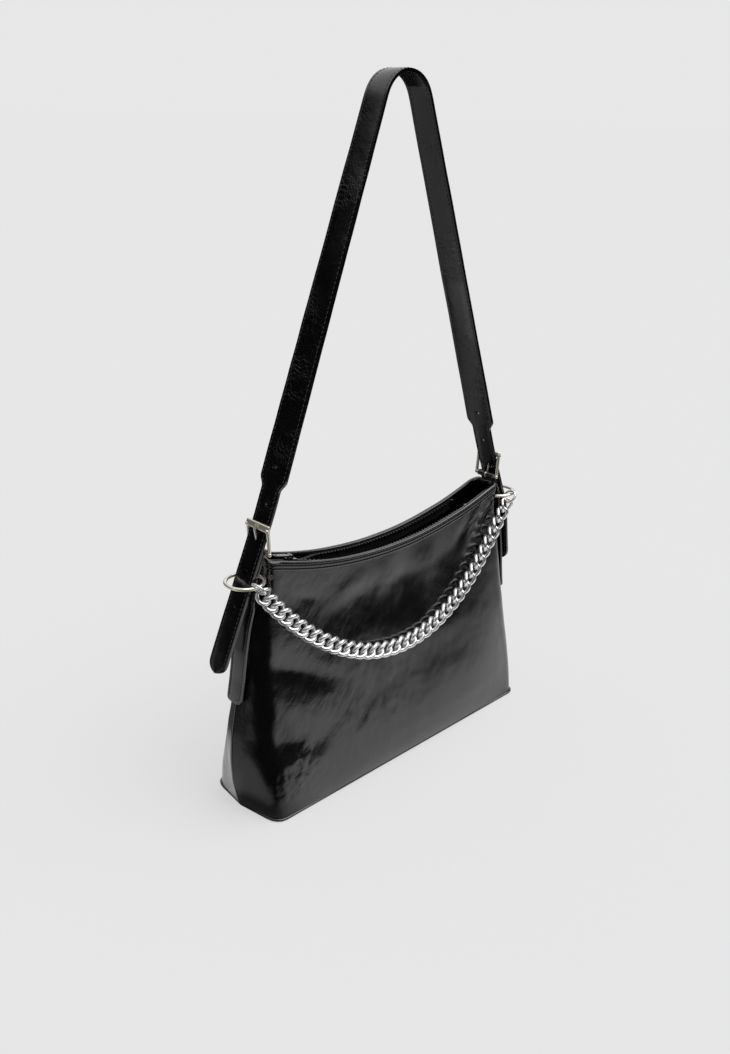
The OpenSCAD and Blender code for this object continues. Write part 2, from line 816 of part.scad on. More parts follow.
// The chain's own directions at the length l: along it, out from the bag and across it
along_step = chain_wire_d / 2;
chain_tilt = 0.12;
function along(l) = unit(chain_at(min(chain_l, l + along_step)) - chain_at(max(0, l - along_step)));
function outward(t) = square_to([0, -1, chain_tilt], t);

// A link goes round an oval while it turns about the chain, so that the next one nests in it
module link(l, pitch) {
    rings = 16;
    half_l = (pitch + chain_wire_d + fit_gap) / 2;
    t = along(l);
    n = outward(t);
    w = cross(n, t);
    centres = [for (i = [0:rings - 1])
        let (a = 360 * i / rings, turn = -link_turn * cos(a))
        chain_at(l) + half_l * cos(a) * t + link_half_w * sin(a) * (cos(turn) * w + sin(turn) * n)];
    outs = [for (i = [0:rings - 1]) let (a = 360 * i / rings) cos(a) * t + sin(a) * w];
    tube(centres, outs, chain_wire_d / 2, 6, true);
}

// Each end ring hangs on a keeper ring, and the links run on from its far side
end_ring_r = (end_ring_d - end_wire_d) / 2;
hook_over = (keeper_wire_d + end_wire_d) / 2 + 4 * fit_gap + running_gap / 2;
links_start = 2 * end_ring_r - hook_over - (end_wire_d + chain_wire_d) / 2 - 2 * fit_gap;
links_run = chain_l - 2 * links_start - chain_wire_d - fit_gap;
link_count = round(links_run / link_pitch);
pitch = links_run / link_count;

module left_chain_ring() {
    t = along(0);
    w = cross(outward(t), t);
    color("silver")
        translate(chain_at(0) + (end_ring_r - hook_over) * t)
        rotate([0, acos(w.z), atan2(w.y, w.x)])
        torus(end_ring_r, end_wire_d);
}

module right_chain_ring() {
    mirror([1, 0, 0]) left_chain_ring();
}

module chain_links() {
    first = links_start + (pitch + chain_wire_d + fit_gap) / 2;
    color("silver")
        for (i = [0:link_count - 1])
            link(first + i * pitch, pitch);
}

front_panel();
back_panel();
bottom_panel();
base_board();
lining();
front_rim_band();
back_rim_band();
left_seam_piping();
right_seam_piping();
bottom_seam_piping();
front_zip_tape();
back_zip_tape();
front_zip_teeth();
back_zip_teeth();
zip_stops();
zip_slider();
zip_puller();
left_tab();
right_tab();
mouth_rivets();
left_buckle_frame();
right_buckle_frame();
left_prong();
right_prong();
left_strap_end();
right_strap_end();
strap_arch();
left_keeper_ring();
right_keeper_ring();
left_chain_ring();
right_chain_ring();
chain_links();
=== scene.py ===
"""Looks of a black shoulder bag: leather body, buckled strap, keeper rings and a chain swag."""
import math

import bpy
import numpy as np
from mathutils import Matrix, Vector, noise


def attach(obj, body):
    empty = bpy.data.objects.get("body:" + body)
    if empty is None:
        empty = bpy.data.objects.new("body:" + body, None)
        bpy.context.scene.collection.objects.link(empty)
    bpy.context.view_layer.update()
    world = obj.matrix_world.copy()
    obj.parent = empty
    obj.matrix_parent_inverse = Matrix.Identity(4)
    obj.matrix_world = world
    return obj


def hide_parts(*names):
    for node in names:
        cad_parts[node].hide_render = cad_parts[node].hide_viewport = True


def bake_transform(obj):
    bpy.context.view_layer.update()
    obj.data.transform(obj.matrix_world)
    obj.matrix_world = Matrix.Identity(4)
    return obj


MM = 0.001
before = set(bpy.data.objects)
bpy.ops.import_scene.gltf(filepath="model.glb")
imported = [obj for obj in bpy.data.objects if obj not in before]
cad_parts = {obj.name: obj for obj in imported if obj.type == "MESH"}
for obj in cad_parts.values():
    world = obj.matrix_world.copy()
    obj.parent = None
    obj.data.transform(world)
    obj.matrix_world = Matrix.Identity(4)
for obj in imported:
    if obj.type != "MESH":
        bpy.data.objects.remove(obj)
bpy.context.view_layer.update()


# Camera at the photograph's place and angle

CAMERA_PLACE = (-0.5607, -0.5285, 0.4998)
YAW, PITCH, ROLL = (math.radians(a) for a in (45.58, 21.92, 1.57))
FOCUS_PX, PHOTO_W, PHOTO_H = 1049.84, 730, 1054
SENSOR_MM = 36


def add_camera():
    ahead = Vector((math.sin(YAW) * math.cos(PITCH), math.cos(YAW) * math.cos(PITCH), -math.sin(PITCH)))
    across = Vector((math.cos(YAW), -math.sin(YAW), 0))
    up = across.cross(ahead)
    right = math.cos(ROLL) * across + math.sin(ROLL) * up
    up = math.cos(ROLL) * up - math.sin(ROLL) * across
    bpy.ops.object.camera_add()
    camera = bpy.context.object
    turn = Matrix((right, up, -ahead)).transposed().to_4x4()
    camera.matrix_world = Matrix.Translation(CAMERA_PLACE) @ turn
    camera.data.sensor_fit = "VERTICAL"
    camera.data.sensor_height = SENSOR_MM
    camera.data.lens = FOCUS_PX * SENSOR_MM / PHOTO_H
    camera.data.clip_end = 200
    bpy.context.scene.camera = camera


add_camera()


# Finishes

class Wire:
    """A socket in a tree of nodes, on which maths is written as expressions."""

    def __init__(self, nodes, socket):
        self.nodes = nodes
        self.socket = socket

    def maths(self, operation, *values):
        return self.nodes.node("ShaderNodeMath", {"operation": operation}, dict(enumerate(values)))

    def __add__(self, other):
        return self.maths("ADD", self, other)

    __radd__ = __add__

    def __mul__(self, other):
        return self.maths("MULTIPLY", self, other)

    __rmul__ = __mul__

    def __sub__(self, other):
        return self.maths("SUBTRACT", self, other)

    def __rsub__(self, other):
        return self.maths("SUBTRACT", other, self)

    def absolute(self):
        return self.maths("ABSOLUTE", self)

    def root(self):
        return self.maths("SQRT", self)

    def above_zero(self):
        return self.maths("MAXIMUM", self, 0.0)

    def clipped(self):
        return self.maths("MINIMUM", self, 1.0).above_zero()

    def ramp(self, low, high):
        """0 below low and 1 above high, with a soft turn at both."""
        return self.nodes.node("ShaderNodeMapRange", {"interpolation_type": "SMOOTHSTEP"},
                               {0: self, 1: low, 2: high, 3: 0.0, 4: 1.0})


class Nodes:
    """A tree of nodes, emptied and then filled."""

    def __init__(self, tree):
        self.tree = tree
        tree.nodes.clear()

    def feed(self, made, inputs):
        for key, value in inputs.items():
            if isinstance(value, Wire):
                self.tree.links.new(value.socket, made.inputs[key])
            else:
                made.inputs[key].default_value = value

    def node(self, kind, settings=None, inputs=None, out=0):
        made = self.tree.nodes.new(kind)
        for key, value in (settings or {}).items():
            setattr(made, key, value)
        self.feed(made, inputs or {})
        return Wire(self, made.outputs[out])

    def parts(self, vector):
        made = self.tree.nodes.new("ShaderNodeSeparateXYZ")
        self.feed(made, {0: vector})
        return [Wire(self, s) for s in made.outputs]


class Finish(Nodes):
    """A material with one main shader, and the nodes that feed it."""

    def __init__(self, name, settings):
        self.material = bpy.data.materials.new(name)
        self.material.use_nodes = True
        super().__init__(self.material.node_tree)
        self.shader = self.tree.nodes.new("ShaderNodeBsdfPrincipled")
        self.output = self.tree.nodes.new("ShaderNodeOutputMaterial")
        self.lit = Wire(self, self.shader.outputs[0])
        self.feed(self.output, {"Surface": self.lit})
        self.feed(self.shader, settings)
        self.place = self.node("ShaderNodeTexCoord", out="Object")

    def looks(self, **inputs):
        self.feed(self.shader, {key.replace("_", " "): value for key, value in inputs.items()})

    def stretched(self, sizes, lean=0.0):
        """The place in units of the sizes, in metres. The first size is laid lean degrees up from +X."""
        return self.node("ShaderNodeMapping", {"vector_type": "TEXTURE"}, {
            "Vector": self.place, "Scale": sizes, "Rotation": (0, -math.radians(lean), 0)})

    def cloudy(self, vector, scale, detail=2.0, roughness=0.5, out=0):
        return self.node("ShaderNodeTexNoise", None, {
            "Vector": vector, "Scale": scale, "Detail": detail, "Roughness": roughness}, out)

    def drift(self):
        """A cloudy colour that bends other patterns."""
        return self.cloudy(self.place, 34.0, 3.0, out="Color")

    def moved(self, vector, by, amount):
        """The vector moved by a cloudy colour, up to amount each way."""
        centred = self.node("ShaderNodeVectorMath", {"operation": "SUBTRACT"}, {0: by, 1: (0.5, 0.5, 0.5)})
        scaled = self.node("ShaderNodeVectorMath", {"operation": "SCALE"}, {0: centred, "Scale": amount})
        return self.node("ShaderNodeVectorMath", {"operation": "ADD"}, {0: vector, 1: scaled})

    def cells(self, scale, line, drift=None, amount=0.0):
        """1 inside cells and 0 on the lines between them. The drift bends the lines."""
        vector = self.moved(self.place, drift, amount) if drift else self.place
        edges = self.node("ShaderNodeTexVoronoi", {"feature": "DISTANCE_TO_EDGE"},
                          {"Vector": vector, "Scale": scale})
        return edges.ramp(0.0, line)

    def bands(self, direction, scale, distortion=0.0):
        return self.node("ShaderNodeTexWave", {"bands_direction": direction}, {
            "Vector": self.place, "Scale": scale, "Distortion": distortion})

    def blend(self, factor, a, b):
        return self.node("ShaderNodeMix", {"data_type": "RGBA"}, {0: factor, 6: a, 7: b}, 2)

    def bump(self, height, depth, below=None):
        inputs = {"Height": height, "Distance": depth, "Strength": 1.0}
        if below:
            inputs["Normal"] = below
        return self.node("ShaderNodeBump", None, inputs, "Normal")


def grey(level):
    return (level, level, level, 1.0)


BLACKS = grey(0.0008), grey(0.002)
LEATHER_LOOKS = {"IOR": 1.72, "Coat Weight": 0.3, "Coat Roughness": 0.07, "Coat IOR": 1.5}


def body_leather(name):
    """Glossy black leather: soft waves and pulled creases at the left end, and smoother to the right."""
    skin = Finish(name, LEATHER_LOOKS)
    x, y, z = skin.parts(skin.place)
    drift = skin.drift()
    left = 1 - x.ramp(-0.11, 0.03)
    low = (1 - x.ramp(-0.12, -0.09)) * (1 - y.ramp(-0.034, -0.028))
    low = low * z.ramp(0.008, 0.02) * (1 - z.ramp(0.055, 0.075))
    waves = skin.cloudy(skin.place, 38.0, 2.0)
    wisps = skin.cloudy(skin.moved(skin.stretched((0.011, 0.006, 0.0032), 40), drift, 1.6), 1.0, 3.0, 0.55)
    blotches = skin.cloudy(skin.moved(skin.place, drift, 0.01), 85.0, 1.5, 0.5).ramp(0.35, 0.7)
    creases = skin.cells(150.0, 0.1, drift, 0.03)
    ruffles = skin.cloudy(skin.stretched((0.016, 0.02, 0.007), 50), 1.0, 2.0)
    right_rim = x.ramp(0.075, 0.1) * z.ramp(0.155, 0.172)
    grain = skin.cells(620.0, 0.16, drift, 0.006)
    relief = skin.bump(waves * (left * 0.88 + 0.12), 0.0007)
    relief = skin.bump(wisps * (left * 0.95 + 0.05), 0.00018, relief)
    relief = skin.bump(blotches * low, 0.0008, relief)
    relief = skin.bump(creases * (low * 0.2 + left * 0.3 + 0.05), 0.00007, relief)
    relief = skin.bump(ruffles * right_rim, 0.002, relief)
    relief = skin.bump(grain, 0.000012, relief)
    worn = skin.cloudy(skin.place, 90.0, 3.0)
    skin.looks(
        Base_Color=skin.blend(worn, *BLACKS),
        Roughness=worn * 0.08 + 0.16 + (1 - grain) * 0.05,
        Normal=relief)
    return skin.material


def trim_leather(name):
    """The same leather on narrow pieces, pressed flat."""
    skin = Finish(name, LEATHER_LOOKS)
    grain = skin.cells(560.0, 0.16)
    waves = skin.cloudy(skin.place, 60.0, 2.0)
    skin.looks(
        Base_Color=skin.blend(waves, *BLACKS),
        Roughness=waves * 0.1 + 0.13,
        Normal=skin.bump(grain, 0.000015, skin.bump(waves, 0.0002)))
    return skin.material


def strap_leather(name):
    """Strap leather, finely cracked in patches, with folds on the right leg and under the crown."""
    skin = Finish(name, LEATHER_LOOKS)
    x, y, z = skin.parts(skin.place)
    drift = skin.drift()
    patches = skin.cloudy(skin.place, 26.0, 2.0).ramp(0.42, 0.62)
    cracks = skin.cells(210.0, 0.1, drift, 0.045)
    grain = skin.cells(560.0, 0.16, drift, 0.006)
    waves = skin.cloudy(skin.place, 70.0, 2.0)
    fold_z = 0.395
    right_fold = x.ramp(0.02, 0.04) * (1 - (z - fold_z).absolute().ramp(0.012, 0.024))
    crown_fold = x.ramp(-0.005, 0.005) * z.ramp(0.49, 0.5)
    folds = skin.cloudy(skin.stretched((0.02, 0.02, 0.0035)), 1.0, 3.0)
    leg = z.ramp(0.225, 0.245)
    relief = skin.bump(waves * (leg * 0.7 + 0.3), 0.0003)
    relief = skin.bump(cracks * (patches * 0.9 + 0.1) * leg, 0.00007, relief)
    relief = skin.bump(folds * (right_fold + crown_fold * 0.5), 0.0012, relief)
    relief = skin.bump(grain, 0.000015, relief)
    skin.looks(
        Base_Color=skin.blend(waves, *BLACKS),
        Roughness=waves * 0.08 + 0.12 + (1 - cracks) * leg * 0.04,
        Normal=relief)
    return skin.material


def thread(name):
    yarn = Finish(name, {"IOR": 1.45, "Sheen Weight": 0.3, "Sheen Roughness": 0.4})
    twist = yarn.bands("DIAGONAL", 900.0, 1.0)
    yarn.looks(
        Base_Color=yarn.blend(twist, grey(0.012), grey(0.035)),
        Roughness=twist * 0.2 + 0.4,
        Normal=yarn.bump(twist, 0.00006))
    return yarn.material


def polished(name, tint, roughness, metallic=1.0):
    """Plated metal: faint clouding, hairline scratches and a little soft unevenness."""
    scratches = 0.06
    metal = Finish(name, {"Metallic": metallic})
    haze = metal.cloudy(metal.place, 160.0, 3.0)
    lines = metal.cloudy(metal.stretched((0.0033, 0.0004, 0.0005), 20), 1.0, 2.0)
    dark = tuple(c * 0.86 for c in tint) + (1.0,)
    metal.looks(
        Base_Color=metal.blend(haze.ramp(0.35, 0.7), tint + (1.0,), dark),
        Roughness=haze * scratches + lines * scratches + roughness,
        Normal=metal.bump(lines, 0.000012, metal.bump(haze, 0.00006)))
    return metal.material


def lining_cloth(name):
    """Satin cloth, with a band of glossy leather facing along the top."""
    cloth = Finish(name, {"IOR": 1.5})
    x, y, z = cloth.parts(cloth.place)
    facing = (z - x * x * 1.3).ramp(0.1515, 0.1525)
    weave = cloth.bands("DIAGONAL", 700.0, 0.4)
    creases = cloth.cells(150.0, 0.09)
    relief = cloth.bump(weave * (1 - facing), 0.00006, cloth.bump(creases * facing, 0.00012))
    cloth.looks(
        Base_Color=cloth.blend(facing, grey(0.004), grey(0.002)),
        Roughness=0.4 - facing * 0.24,
        Normal=cloth.bump(cloth.cloudy(cloth.place, 40.0, 3.0), 0.0016, relief))
    return cloth.material


def woven_tape(name):
    tape = Finish(name, {"IOR": 1.4})
    rows = tape.bands("Z", 520.0)
    ribs = tape.bands("X", 420.0)
    tape.looks(
        Base_Color=tape.blend(rows * ribs, grey(0.002), grey(0.005)),
        Roughness=ribs * 0.2 + 0.5,
        Normal=tape.bump(rows * 0.5 + ribs, 0.0001))
    return tape.material


def moulded(name, level, roughness, grain=900.0):
    solid = Finish(name, {"IOR": 1.5})
    specks = solid.cloudy(solid.place, grain, 2.0)
    solid.looks(
        Base_Color=solid.blend(specks, grey(level * 0.7), grey(level * 1.3)),
        Roughness=specks * 0.2 + roughness,
        Normal=solid.bump(specks, 0.00005))
    return solid.material


BODY_LEATHER = body_leather("body_leather")
TRIM_LEATHER = trim_leather("trim_leather")
STRAP_LEATHER = strap_leather("strap_leather")
THREAD = thread("black_thread")
GOLD = polished("pale_gold_plate", (0.92, 0.86, 0.74), 0.12, metallic=0.78)
SILVER = polished("silver_plate", (0.95, 0.95, 0.95), 0.08, metallic=0.8)
ZIP_METAL = polished("dark_zip_metal", (0.35, 0.35, 0.36), 0.16)
LINING = lining_cloth("satin_lining")
TAPE = woven_tape("woven_tape")
TEETH = moulded("moulded_teeth", 0.004, 0.3)
BOARD = moulded("grey_board", 0.1, 0.7, 400.0)


# Making of pieces

def rest():
    if bpy.context.mode != "OBJECT":
        bpy.ops.object.mode_set(mode="OBJECT")
    bpy.ops.object.select_all(action="DESELECT")


def only(piece):
    rest()
    piece.select_set(True)
    bpy.context.view_layer.objects.active = piece


def modify(piece, kind, **settings):
    only(piece)
    modifier = piece.modifiers.new(kind.lower(), kind)
    for key, value in settings.items():
        setattr(modifier, key, value)
    bpy.ops.object.modifier_apply(modifier=modifier.name)


def finish_piece(piece, name, material, body, nodes=(), angle=50):
    piece.name = name
    piece.data.name = name
    only(piece)
    bpy.ops.object.transform_apply(location=True, rotation=True, scale=True)
    bpy.ops.object.shade_smooth_by_angle(angle=math.radians(angle))
    piece.data.materials.clear()
    piece.data.materials.append(material)
    if body:
        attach(piece, body)
    if nodes:
        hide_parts(*nodes)


def added(primitive, **settings):
    rest()
    primitive(**settings)
    return bpy.context.object


def torus(radius, wire_r, around, sides):
    return added(bpy.ops.mesh.primitive_torus_add, major_radius=radius * MM, minor_radius=wire_r * MM,
                 major_segments=around, minor_segments=sides)


def block(sizes):
    piece = added(bpy.ops.mesh.primitive_cube_add, size=1)
    piece.scale = [size * MM for size in sizes]
    return piece


def mesh_piece(name, places, faces):
    """A piece made of places, in metres, and faces."""
    mesh = bpy.data.meshes.new(name)
    mesh.from_pydata([tuple(p) for p in places], [], faces)
    piece = bpy.data.objects.new(name, mesh)
    bpy.context.scene.collection.objects.link(piece)
    return piece


def laid_grid(points):
    """A grid primitive whose rows and columns of points are laid at the given places, in mm."""
    rows, cols = points.shape[:2]
    piece = added(bpy.ops.mesh.primitive_grid_add, x_subdivisions=cols - 1, y_subdivisions=rows - 1, size=1)
    piece.data.vertices.foreach_set("co", (points * MM).astype(np.float32).ravel())
    piece.data.update()
    return piece


def template(piece):
    """The places and faces of a piece, which is then removed."""
    places = np.array([v.co for v in piece.data.vertices])
    faces = [tuple(p.vertices) for p in piece.data.polygons]
    bpy.data.objects.remove(piece)
    return places, faces


def edited(piece, step):
    """Runs a step on the whole mesh, and turns the faces outwards."""
    only(piece)
    bpy.ops.object.mode_set(mode="EDIT")
    bpy.ops.mesh.select_all(action="SELECT")
    step()
    bpy.ops.mesh.select_all(action="SELECT")
    bpy.ops.mesh.normals_make_consistent(inside=False)
    bpy.ops.object.mode_set(mode="OBJECT")
    return piece


def merged(piece, distance=0.00002):
    return edited(piece, lambda: bpy.ops.mesh.remove_doubles(threshold=distance))


def fill_open_edges():
    bpy.ops.mesh.select_all(action="DESELECT")
    bpy.ops.mesh.select_mode(type="EDGE")
    bpy.ops.mesh.select_non_manifold(extend=False)
    bpy.ops.mesh.edge_face_add()


def closed_grid(points):
    """A laid grid whose first and last columns meet, with its two ends filled."""
    return edited(merged(laid_grid(points)), fill_open_edges)


def softened(piece, width, segments=3, angle=30):
    modify(piece, "BEVEL", width=width * MM, segments=segments, limit_method="ANGLE",
           angle_limit=math.radians(angle))


def cut(piece, cutter):
    only(cutter)
    bpy.ops.object.transform_apply(location=True, rotation=True, scale=True)
    modify(piece, "BOOLEAN", object=cutter, operation="DIFFERENCE", solver="EXACT")
    bpy.data.objects.remove(cutter)


def stood(place, direction):
    """The matrix that puts a piece at a place, in mm, with its +Z along the direction."""
    turn = Vector(direction).to_track_quat("Z", "Y").to_matrix().to_4x4()
    return Matrix.Translation(Vector(np.multiply(place, MM))) @ turn


def wire(points, radius, closed=False, sides=16, round_ends=False):
    """A round wire through the points, in mm, made from a curve."""
    rest()
    curve = bpy.data.curves.new("wire", "CURVE")
    curve.dimensions = "3D"
    curve.bevel_depth = radius * MM
    curve.bevel_resolution = sides // 4
    curve.use_fill_caps = not closed
    line = curve.splines.new("POLY")
    line.points.add(len(points) - 1)
    for i, p in enumerate(points):
        line.points[i].co = (p[0] * MM, p[1] * MM, p[2] * MM, 1)
        if round_ends and i in (0, len(points) - 1):
            line.points[i].radius = 0.6
    line.use_cyclic_u = closed
    piece = bpy.data.objects.new("wire", curve)
    bpy.context.scene.collection.objects.link(piece)
    only(piece)
    bpy.ops.object.convert(target="MESH")
    return bpy.context.object


def joined(pieces):
    rest()
    for p in pieces:
        p.select_set(True)
    bpy.context.view_layer.objects.active = pieces[0]
    bpy.ops.object.join()
    return bpy.context.object


# Lines of points

def relaxed(line, passes):
    """Softens the bends of a line, in place, with its ends held."""
    for _ in range(passes):
        line[1:-1] = (line[:-2] + 2 * line[1:-1] + line[2:]) / 4
    return line


def lengths_along(line):
    return np.concatenate([[0], np.cumsum(np.linalg.norm(np.diff(line, axis=0), axis=1))])


def places_at(lengths, run, line):
    return np.stack([np.interp(lengths, run, line[:, k]) for k in range(line.shape[1])], -1)


def unit(vector):
    return vector / np.linalg.norm(vector)


def squared(vector, t):
    """The unit vector square to t that is nearest to the vector."""
    return unit(vector - (vector @ t) * t)


def rounded_path(corners, radius, steps):
    """A path through the corners with each inner corner rounded."""
    path = [corners[0]]
    for a, b, c in zip(corners, corners[1:], corners[2:]):
        before, after = a - b, c - b
        r = min(radius, np.linalg.norm(before) * 0.49, np.linalg.norm(after) * 0.49)
        start, end = b + unit(before) * r, b + unit(after) * r
        for t in np.linspace(0, 1, steps + 1):
            path.append((1 - t) ** 2 * start + 2 * t * (1 - t) * b + t * t * end)
    path.append(corners[-1])
    return path


# The bag's shape, as in its construction: heights are shares of the bag's height

FOOT_W, FOOT_D, BAG_H, MOUTH_W, MOUTH_D, RIM_DIP, SEAM_OUT = 286.0, 74.0, 202.0, 257.0, 25.0, 22.0, 18.0
LEATHER_T, LINING_T, BAND_H, BOTTOM_T, PIPING_R = 2.0, 0.8, 7.0, 2.8, 1.1
SEAM_SHARES = [(0, .28), (.05, .52), (.12, .77), (.22, .95), (.33, .98), (.43, .87), (.55, .75), (.66, .69),
               (.76, .57), (.82, .42), (.87, .05), (.91, -.18), (1, -.2)]
BULGE_SHARES = [(0, 0), (.12, .9), (.33, 1), (.55, .9), (.76, .4), (1, 0)]
FALL_SHARES = [(0, 0), (.12, .25), (.33, .7), (.6, 1), (.85, .8), (1, 0)]
BELLY_SHARES = [(0, 0), (.03, .5), (.08, .9), (.16, 1.15), (.24, 1.05), (.33, .82), (.43, .48), (.55, .08),
                (.66, -.25), (.76, -.55), (.83, -.62), (.9, -.34), (1, 0)]
CORNER_BULGE, CORNER_FALL, CORNER_ROUND, CORNER_RIM = 2.6, 5.0, 9.0, 0.94
BELLY, UPRIGHT_SHARE = 6.0, 0.92
SIDE_END, CORNER_END = 0.15, 0.22
KEEPER_DROP = 14.5


def looked_up(v, rows):
    return np.interp(v, [r[0] for r in rows], [r[1] for r in rows])


def mix(a, b, t):
    return a + (b - a) * t


def smooth(t):
    t = np.clip(t, 0, 1)
    return t * t * (3 - 2 * t)


def rim_z(q):
    return BAG_H - RIM_DIP * (1 - q * q)


def half_w(v):
    return mix(FOOT_W, MOUTH_W, np.minimum(1, v / UPRIGHT_SHARE)) / 2


def seam_x(v):
    return half_w(v) + SEAM_OUT * looked_up(v, SEAM_SHARES)


def corner_x(v):
    return half_w(v) + CORNER_BULGE * looked_up(v, BULGE_SHARES)


def face_y(v, q):
    belly = BELLY * looked_up(v, BELLY_SHARES) * (1 - q ** 4)
    return mix(FOOT_D, MOUTH_D, v) / 2 + belly - CORNER_FALL * looked_up(v, FALL_SHARES) * q ** 4


def column_share(s):
    """Share of the rim's half width above a place s, from 0 at a side seam to 1 at the middle."""
    return np.where(s < SIDE_END, 1.0, np.where(
        s < CORNER_END, mix(1.0, CORNER_RIM, (s - SIDE_END) / (CORNER_END - SIDE_END)),
        CORNER_RIM * (1 - (s - CORNER_END) / (1 - CORNER_END))))


def half_outline(s, v, inset, seam_gap):
    """Right half of the front outline: s runs from the side seam to the middle. Gives x and y."""
    seam = np.stack([seam_x(v) - inset, np.full_like(v, -seam_gap)], -1)
    corner = np.stack([corner_x(v) - inset, -face_y(v, 1.0) + inset], -1)
    run = corner - seam
    reach = np.minimum(CORNER_ROUND * 1.3 / np.linalg.norm(run, axis=-1, keepdims=True), 0.45)
    side_end = corner - run * reach
    q = np.clip(1 - (s - CORNER_END) / (1 - CORNER_END), 0, 1)
    face = np.stack([q * (corner_x(v) - inset - CORNER_ROUND), -face_y(v, q) + inset], -1)
    face_end = np.stack([corner_x(v) - inset - CORNER_ROUND, -face_y(v, 1.0) + inset], -1)
    t = np.clip(s / SIDE_END, 0, 1)[..., None]
    side = mix(seam, side_end, t)
    t = np.clip((s - SIDE_END) / (CORNER_END - SIDE_END), 0, 1)[..., None]
    bend = (1 - t) ** 2 * side_end + 2 * t * (1 - t) * corner + t * t * face_end
    s = s[..., None]
    return np.where(s < SIDE_END, side, np.where(s < CORNER_END, bend, face))


def body_points(cols, zs_of, inset, seam_gap=1.25):
    """Rows of points on the front half. zs_of gives the heights of each column from its rim height."""
    u = np.linspace(-1, 1, cols)
    s = 1 - np.abs(u)
    share = column_share(s)
    z = zs_of(rim_z(share))
    v = np.clip(z / rim_z(share), 0, 1)
    s_all = np.broadcast_to(s, z.shape)
    xy = half_outline(s_all, v, inset, seam_gap)
    return np.stack([xy[..., 0] * np.sign(u + 1e-9), xy[..., 1], z], -1)


def eased(points, passes):
    """Softens the rows and columns of a laid grid in place. Its borders move only along themselves."""
    for _ in range(passes):
        relaxed(points.swapaxes(0, 1), 1)
        relaxed(points, 1)
    return points


def mirrored(points):
    """The same grid behind the bag's middle plane, in an order that keeps its faces outwards."""
    return points[:, ::-1] * np.array([1, -1, 1])


def normals_of(points):
    across = np.gradient(points, axis=1)
    up = np.gradient(points, axis=0)
    n = np.cross(across, up)
    return n / np.maximum(np.linalg.norm(n, axis=-1, keepdims=True), 1e-9)


def wander(points, scale, seed):
    """Smooth noise from -1 to 1 at each point."""
    flat = points.reshape(-1, 3) / scale + seed
    return np.array([noise.noise(Vector(p)) for p in flat]).reshape(points.shape[:-1])


# Soft hollows and swells of the faces: x, z, two radii, turn in degrees, height in mm
FRONT_FORM = [
    (-112, 112, 42, 8, -27, -2.0), (-118, 141, 26, 15, -20, 1.3), (-110, 80, 34, 18, -20, 1.8),
    (-128, 60, 26, 10, -8, -1.7), (-100, 50, 14, 8, 30, -1.0), (-122, 30, 26, 22, -4, 2.6),
    (-93, 163, 9, 4, -20, -0.8), (-52, 158, 24, 9, 20, 1.2), (12, 150, 8, 24, 12, -0.8),
    (36, 152, 14, 22, 10, 1.5), (-12, 156, 13, 20, 0, 0.8), (-28, 66, 55, 20, -12, -1.4),
    (54, 40, 60, 26, 0, 1.6), (98, 180, 10, 4, 55, 1.0), (108, 172, 12, 4, 50, -1.0),
    (86, 172, 12, 5, 50, -1.0), (92, 160, 18, 7, 40, 1.0), (20, 100, 60, 16, -8, 1.0)]
BACK_FORM = [
    (-80, 110, 50, 12, 18, -1.6), (60, 130, 40, 14, -20, -1.4), (0, 70, 70, 24, 4, 1.8),
    (100, 60, 30, 16, 24, -1.4), (-104, 60, 26, 14, -18, 1.4), (10, 150, 10, 22, 4, -1.2),
    (-50, 30, 50, 10, 6, -1.0)]
PANEL_LOW, PANEL_TOP_GAP, PANEL_T = 0.9, 1.0, LEATHER_T - 0.3


def swell(points, forms):
    x, z = points[..., 0], points[..., 2]
    height = np.zeros(x.shape)
    for cx, cz, rx, rz, turn, depth in forms:
        c, s = math.cos(math.radians(turn)), math.sin(math.radians(turn))
        along = ((x - cx) * c + (z - cz) * s) / rx
        across = (-(x - cx) * s + (z - cz) * c) / rz
        height += depth * np.exp(-(along ** 2 + across ** 2))
    return height


def panel(name, node, forms, seed, back):
    rows, cols = 92, 236
    t = np.linspace(0, 1, rows)[:, None]
    points = body_points(cols, lambda rim: PANEL_LOW + t * (rim - PANEL_TOP_GAP - PANEL_LOW), 0.0)
    points = eased(points, 5)
    from_end = 1 - np.abs(np.linspace(-1, 1, cols))
    edge = np.minimum(1, np.minimum(t, 1 - t) * 7) * np.minimum(1, from_end * 7)
    if back:
        points = mirrored(points)
    uneven = (0.5 * wander(points, 30, seed) + 0.25 * wander(points, 13, seed + 9)
              + 0.12 * wander(points, 6, seed + 20))
    calmer = mix(1, 0.45, smooth((points[..., 0] + 20) / 90))
    relief = swell(points, forms) + uneven * calmer
    piece = laid_grid(points + normals_of(points) * (relief * edge)[..., None])
    modify(piece, "SOLIDIFY", thickness=PANEL_T * MM, offset=-1)
    finish_piece(piece, name, BODY_LEATHER, "bag", [node])


panel("front_leather", "front_panel", FRONT_FORM, 3.1, False)
panel("back_leather", "back_panel", BACK_FORM, 7.7, True)


# Bound rims: one strip a side, folded over the edge, with two stitched grooves

BAND_PROFILE = [(7.2, 0.2), (6.9, -0.7), (5.9, -1.0), (4.9, -0.95), (4.4, -0.6), (3.9, -0.95), (2.6, -1.05),
                (1.9, -0.7), (1.2, -0.95), (0.4, -0.7), (0.0, 0.2), (0.0, 1.2), (0.4, 2.4), (1.4, 3.05),
                (4.0, 3.1), (7.2, 3.05), (7.2, 1.6), (7.2, 0.2)]
GROOVE_ROWS = (4, 7)


